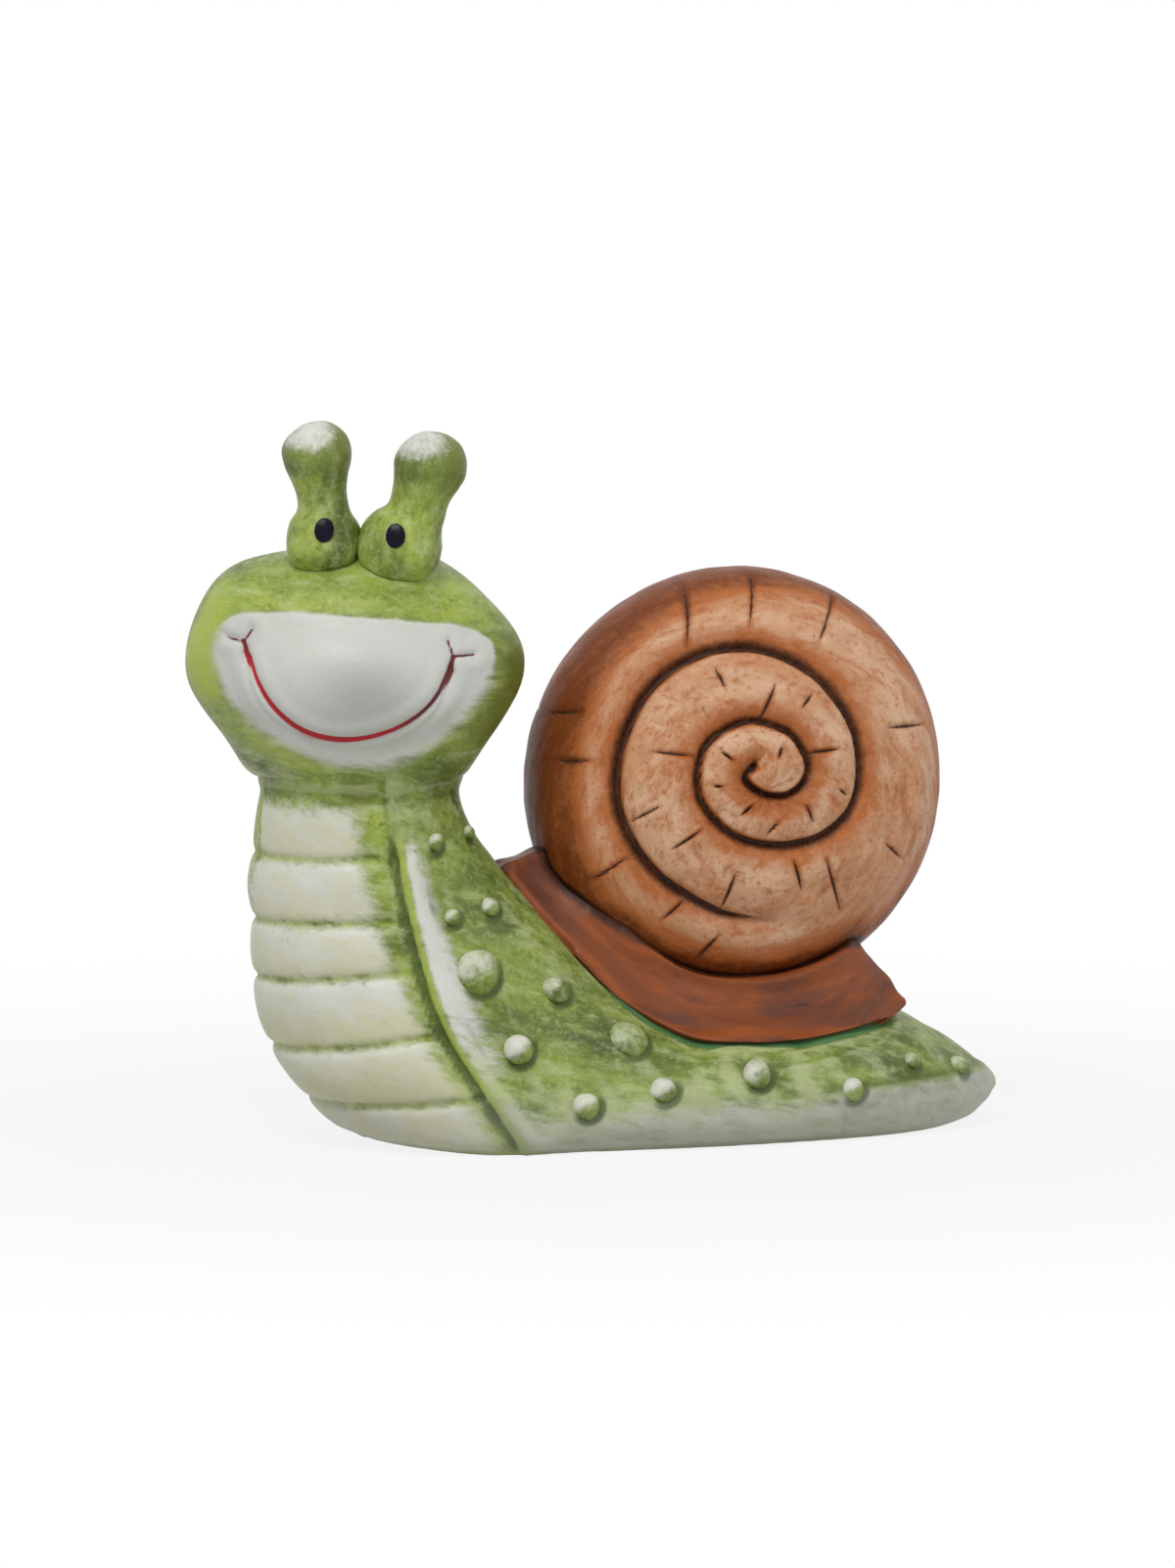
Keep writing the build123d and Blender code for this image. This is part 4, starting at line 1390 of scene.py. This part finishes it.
@dataclass
class Saddle:
    """The flared collar that the shell sits in."""

    grain: float = 0.5
    long_edge: float = 3.0
    bedding: float = 2.0
    shell_share: float = 0.6
    bed_reach: float = 1.2
    lip_rise: float = 0.6
    slit_width: float = 1.1
    trim_depth: float = 4.2

    def bed(self, skin: bmesh.types.BMesh, node: str, depth: float) -> None:
        """Presses the collar's hidden faces into a neighbour and rounds its thin edges up.

        Args:
            skin: the collar's skin.
            node: the neighbour's CAD node.
            depth: how deep the faces sink, in millimetres.
        """
        reach = self.bed_reach * MM
        skin.normal_update()
        for vert in skin.verts:
            _, normal, _, distance = tree_of(node).find_nearest(vert.co, reach)
            if normal is not None and vert.normal.dot(normal) < -0.3:
                vert.co -= normal * (depth * (1 - distance / reach) * MM)
            elif normal is not None:
                vert.co += vert.normal * (self.lip_rise * (1 - distance / reach) * MM)

    def trim(self, piece: Clay) -> None:
        """Sinks what hangs below the saddle's lower edge into the body, so that the edge is one line.

        Args:
            piece: the saddle.
        """
        points = piece.points()
        below, holds = below_saddle(points)
        points[:, 1] -= np.sign(points[:, 1]) * self.trim_depth * ramp(-0.5, 0.8, below) * holds
        piece.place(points)

    def closed(self, skin: bmesh.types.BMesh) -> Clay:
        """Closes the slits that the thin edges leave.

        Args:
            skin: the collar's skin, which is freed.

        Returns:
            The collar without slits.
        """
        rough = remeshed(skin, "saddle_rough", self.grain, 2)
        rough.press(np.full(len(rough.mesh.vertices), self.slit_width))
        swollen = bmesh.new()
        swollen.from_mesh(rough.mesh)
        bpy.data.objects.remove(rough.object)
        piece = remeshed(swollen, "snail_saddle", self.grain, 4)
        piece.press(np.full(len(piece.mesh.vertices), -self.slit_width))
        piece.soften(4)
        return piece

    def build(self, glaze: bpy.types.Material) -> None:
        """Makes and paints the saddle.

        Args:
            glaze: the saddle's stain.
        """
        skin = outer_skin("saddle")
        long_edges = [edge for edge in skin.edges if edge.calc_length() > self.long_edge * MM]
        bmesh.ops.subdivide_edges(skin, edges=long_edges, cuts=2, use_grid_fill=True)
        for node, depth in (("body", self.bedding), ("shell", self.shell_share * self.bedding)):
            self.bed(skin, node, depth)
        piece = self.closed(skin)
        points = piece.points()
        offset = points - shell_centre()
        angle = np.arctan2(offset[:, 2], offset[:, 0])
        radius = np.hypot(offset[:, 0], offset[:, 2])
        ridges = np.stack((4 * angle, offset[:, 1] * 0.8, radius), axis=1)
        body_gap = piece.nearness(8, "body")
        piece.press(0.20 * lumps(ridges, 2.2, 61) + 0.25 * lumps(points, 8, 62))
        piece.melt(ramp(68, 76, points[:, 0]), 12)
        self.trim(piece)
        points = piece.points()
        # Darker next to the shell, at the upper front end, in a band a little above the body, and on downward
        # faces close to the body, which is painted shade.
        darks = (
            ramp(3.4, 0.3, piece.nearness(8, "shell")),
            0.9 * ramp(-16, -24, points[:, 0]) * ramp(48, 56, points[:, 2]),
            0.8 * ramp(0.1, -0.6, piece.normals()[:, 2]) * ramp(1.4, 0.2, body_gap),
            0.55 * ramp(6.5, 3.0, body_gap) * ramp(0.6, 1.6, body_gap),
        )
        piece.paint(
            np.stack((10 * angle, 0.8 * offset[:, 1], radius), axis=1),
            dark=np.maximum.reduce(darks),
            rim=0.7 * bell(body_gap - 0.7, 0.7),
        )
        piece.dress(glaze, "saddle_brown", "saddle")


@dataclass(frozen=True)
class WartSeat:
    """Where a wart sits: its middle, the way out of the body there, and its radius."""

    centre: np.ndarray
    out: np.ndarray
    radius: float


def wart_seats(node: str) -> list[WartSeat]:
    """Reads the warts' places from their CAD node.

    Args:
        node: near_warts or far_warts.

    Returns:
        One seat for each wart, on the body's skin.
    """
    buttons = bmesh.new()
    buttons.from_mesh(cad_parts[node].data)
    bmesh.ops.remove_doubles(buttons, verts=buttons.verts, dist=SAME_POINT * MM)
    seats = []
    for group in loose_parts(buttons):
        button = np.array([vert.co[:] for vert in group]) / MM
        middle = button.mean(axis=0)
        out = np.linalg.svd(button - middle)[2][2]
        out = out * (1 if out[1] * middle[1] > 0 else -1)
        depth = (button - middle) @ out
        radius = np.linalg.norm(button - middle - depth[:, None] * out, axis=1).max()
        seats.append(WartSeat(middle + out * depth.min(), out, float(radius)))
    buttons.free()
    return seats


@dataclass
class Warts:
    """Round drops of clay pressed onto both flanks."""

    rings: int = 14
    rise: float = 0.86

    def build(self, glaze: bpy.types.Material) -> None:
        """Makes one round drop for each button of the CAD nodes.

        Args:
            glaze: the green wash.
        """
        for side in Side:
            node = f"{side.name.lower()}_warts"
            drops = bmesh.new()
            for seat in wart_seats(node):
                self.add_drop(drops, seat)
            mesh = bpy.data.meshes.new(f"snail_{node}")
            drops.to_mesh(mesh)
            drops.free()
            piece = Clay(f"snail_{node}", mesh)
            points = piece.points()
            piece.press(0.12 * lumps(points, 2.6, 71) + 0.05 * lumps(points, 1.1, 72))
            self.paint(piece)
            piece.dress(glaze, "wart_green", node)

    def add_drop(self, drops: bmesh.types.BMesh, seat: WartSeat) -> None:
        """Adds a round drop on a seat.

        Args:
            drops: the bmesh that collects the drops.
            seat: where the drop sits.
        """
        made = bmesh.ops.create_uvsphere(drops, u_segments=2 * self.rings, v_segments=self.rings, radius=1)
        turn = Vector((0, 0, 1)).rotation_difference(Vector(seat.out)).to_matrix().to_4x4()
        size = seat.radius * MM
        bmesh.ops.scale(drops, vec=(size, size, self.rise * size), verts=made["verts"])
        bmesh.ops.transform(drops, matrix=turn, verts=made["verts"])
        bmesh.ops.translate(drops, vec=Vector(seat.centre) * MM, verts=made["verts"])

    def paint(self, piece: Clay) -> None:
        """Stores the layers that the green wash reads.

        Args:
            piece: the drops of one flank.
        """
        points = piece.points()
        # lit faces the key lamp: the drops get painted highlight in white and sage on that side, and painted
        # shade in deep green at the foot and a lime tint on the other side.
        lit = piece.normals() @ np.array([-0.5, 0.0, 0.86])
        low_down = ramp(26, 16, points[:, 2] + 0.12 * points[:, 0])
        pale = 0.3 + 0.7 * low_down + 0.3 * ramp(-10, -25, points[:, 0])
        piece.paint(
            points,
            white=ramp(-0.5, 0.7, lit) * pale,
            creamy=0.3,
            lime_line=0.3 * ramp(0.4, -0.6, lit),
            crevice_shade=0.9 * ramp(1.0, 0.1, piece.nearness(3, "body")) * ramp(0.4, -0.5, lit),
            fresh=0.2,
            raised=0.9 * ramp(-0.2, 0.7, lit),
        )


@dataclass
class Studio:
    """A pale floor, soft lamps and the camera at the photograph's viewing angle."""

    azimuth: float = -18.0
    elevation: float = 7.0
    distance: float = 9000.0
    millimetres_per_pixel: float = 0.2
    sensor: float = 24.0
    clip: tuple = (0.05, 40)
    aim: tuple = (-2.7, 0.3, 72.1)
    paper: tuple = (0.60, 0.64)
    sky: float = 0.46
    lamps: tuple = (
        ("key softbox", (-420, -620, 960), 420, 6.2),
        ("fill softbox", (700, -700, 420), 500, 1.0),
    )
    floor_half: float = 6000.0
    near_glow: float = 0.86
    glow_reach: tuple = (90.0, 320.0)

    def view_axes(self) -> tuple[Vector, Vector, Vector]:
        """The directions towards the camera, to its right and up.

        Returns:
            Three unit vectors.
        """
        turn, lift = math.radians(self.azimuth), math.radians(self.elevation)
        towards = Vector((math.sin(turn) * math.cos(lift), -math.cos(turn) * math.cos(lift), math.sin(lift)))
        right = Vector((math.cos(turn), math.sin(turn), 0))
        return towards, right, towards.cross(right)

    def place_camera(self) -> None:
        """Aims a long lens so that a photograph pixel spans its known length."""
        towards = self.view_axes()[0]
        data = bpy.data.cameras.new("photo camera")
        data.sensor_fit = "VERTICAL"
        data.sensor_height = self.sensor
        data.lens = self.sensor * self.distance / (PHOTO_HEIGHT * self.millimetres_per_pixel)
        data.clip_start, data.clip_end = self.clip
        camera = bpy.data.objects.new("photo camera", data)
        camera.location = (Vector(self.aim) + towards * self.distance) * MM
        camera.rotation_euler = (-towards).to_track_quat("-Z", "Y").to_euler()
        bpy.context.scene.collection.objects.link(camera)
        bpy.context.scene.camera = camera

    def hang_lamp(self, name: str, place: tuple, size: float, power: float) -> None:
        """Hangs one square soft box that looks at the snail.

        Args:
            name: the lamp's name.
            place: where it hangs, in millimetres.
            size: its side in millimetres.
            power: its strength in watts.
        """
        data = bpy.data.lights.new(name, "AREA")
        data.shape = "SQUARE"
        data.size = size * MM
        data.energy = power
        lamp = bpy.data.objects.new(name, data)
        lamp.location = Vector(place) * MM
        lamp.rotation_euler = (Vector(self.aim) - Vector(place)).to_track_quat("-Z", "Y").to_euler()
        bpy.context.scene.collection.objects.link(lamp)

    def lay_floor(self) -> None:
        """Lays a pale floor that shows white to the camera and keeps the snail's shadow."""
        sheet = bmesh.new()
        bmesh.ops.create_grid(sheet, x_segments=1, y_segments=1, size=self.floor_half * MM)
        mesh = bpy.data.meshes.new("studio_floor")
        sheet.to_mesh(mesh)
        sheet.free()
        floor = bpy.data.objects.new("studio_floor", mesh)
        bpy.context.scene.collection.objects.link(floor)
        mesh.materials.append(self.floor_paint())

    def floor_paint(self) -> bpy.types.Material:
        """White paper: it glows to the camera, and more so far away, but still takes a shadow.

        Returns:
            The material.
        """
        brush = Brushwork("studio floor")
        colour = brush.blend(brush.noise(40, detail=2), *((grey, grey, grey, 1) for grey in self.paper))
        brush.join(colour, brush.shader.inputs["Base Color"])
        brush.shader.inputs["Roughness"].default_value = 0.8
        brush.shader.inputs["Specular IOR Level"].default_value = 0.1
        distance = brush.add("ShaderNodeVectorMath", operation="LENGTH")
        brush.join(brush.places, distance.inputs[0])
        near, far = (reach * MM for reach in self.glow_reach)
        more = brush.times(brush.step(distance.outputs["Value"], near, far), 1 - self.near_glow)
        glow = brush.add("ShaderNodeEmission")
        glow.inputs["Color"].default_value = (1, 1, 1, 1)
        mixer = brush.add("ShaderNodeMixShader")
        brush.join(brush.times(sight_rays(brush.tree), brush.plus(more, self.near_glow)), mixer.inputs["Fac"])
        brush.join(brush.shader.outputs["BSDF"], mixer.inputs[1])
        brush.join(glow.outputs["Emission"], mixer.inputs[2])
        brush.join(mixer.outputs["Shader"], brush.tree.nodes["Material Output"].inputs["Surface"])
        return brush.material

    def light_world(self) -> None:
        """Fills the studio with even light and a white backdrop."""
        world = bpy.data.worlds.new("studio")
        bpy.context.scene.world = world
        world.use_nodes = True
        nodes, links = world.node_tree.nodes, world.node_tree.links
        strength = nodes.new("ShaderNodeMapRange")
        strength.inputs["To Min"].default_value = self.sky
        strength.inputs["To Max"].default_value = 1.0
        links.new(sight_rays(world.node_tree), strength.inputs["Value"])
        links.new(strength.outputs["Result"], nodes["Background"].inputs["Strength"])
        nodes["Background"].inputs["Color"].default_value = (1, 1, 1, 1)

    def build(self) -> None:
        """Sets up the floor, the light and the camera."""
        bpy.context.scene.view_settings.view_transform = "Standard"
        self.lay_floor()
        self.light_world()
        for lamp in self.lamps:
            self.hang_lamp(*lamp)
        self.place_camera()


def sight_rays(tree: bpy.types.NodeTree) -> bpy.types.NodeSocket:
    """Finds the rays that show the backdrop: the camera's, glossy ones and those through glass.

    Args:
        tree: the node tree that asks.

    Returns:
        1 for such a ray, 0 for another.
    """
    path = tree.nodes.new("ShaderNodeLightPath").outputs
    sight = path["Is Camera Ray"]
    for other in ("Is Glossy Ray", "Is Transmission Ray"):
        most = tree.nodes.new("ShaderNodeMath")
        most.operation = "MAXIMUM"
        tree.links.new(sight, most.inputs[0])
        tree.links.new(path[other], most.inputs[1])
        sight = most.outputs[0]
    return sight


def main() -> None:
    """Builds the snail piece by piece and reports each."""
    logging.basicConfig(level=logging.INFO, format="%(message)s")
    Studio().build()
    green = GreenWash().glaze()
    Body().build(green)
    Head().build(green)
    Feelers().build(green)
    Pupils().build(PupilEnamel().glaze())
    Shell().build(ShellStain().glaze())
    Saddle().build(SaddleStain().glaze())
    Warts().build(green)
    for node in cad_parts:
        LOG.info("node %s is dressed", node)


if __name__ == "__main__":
    main()
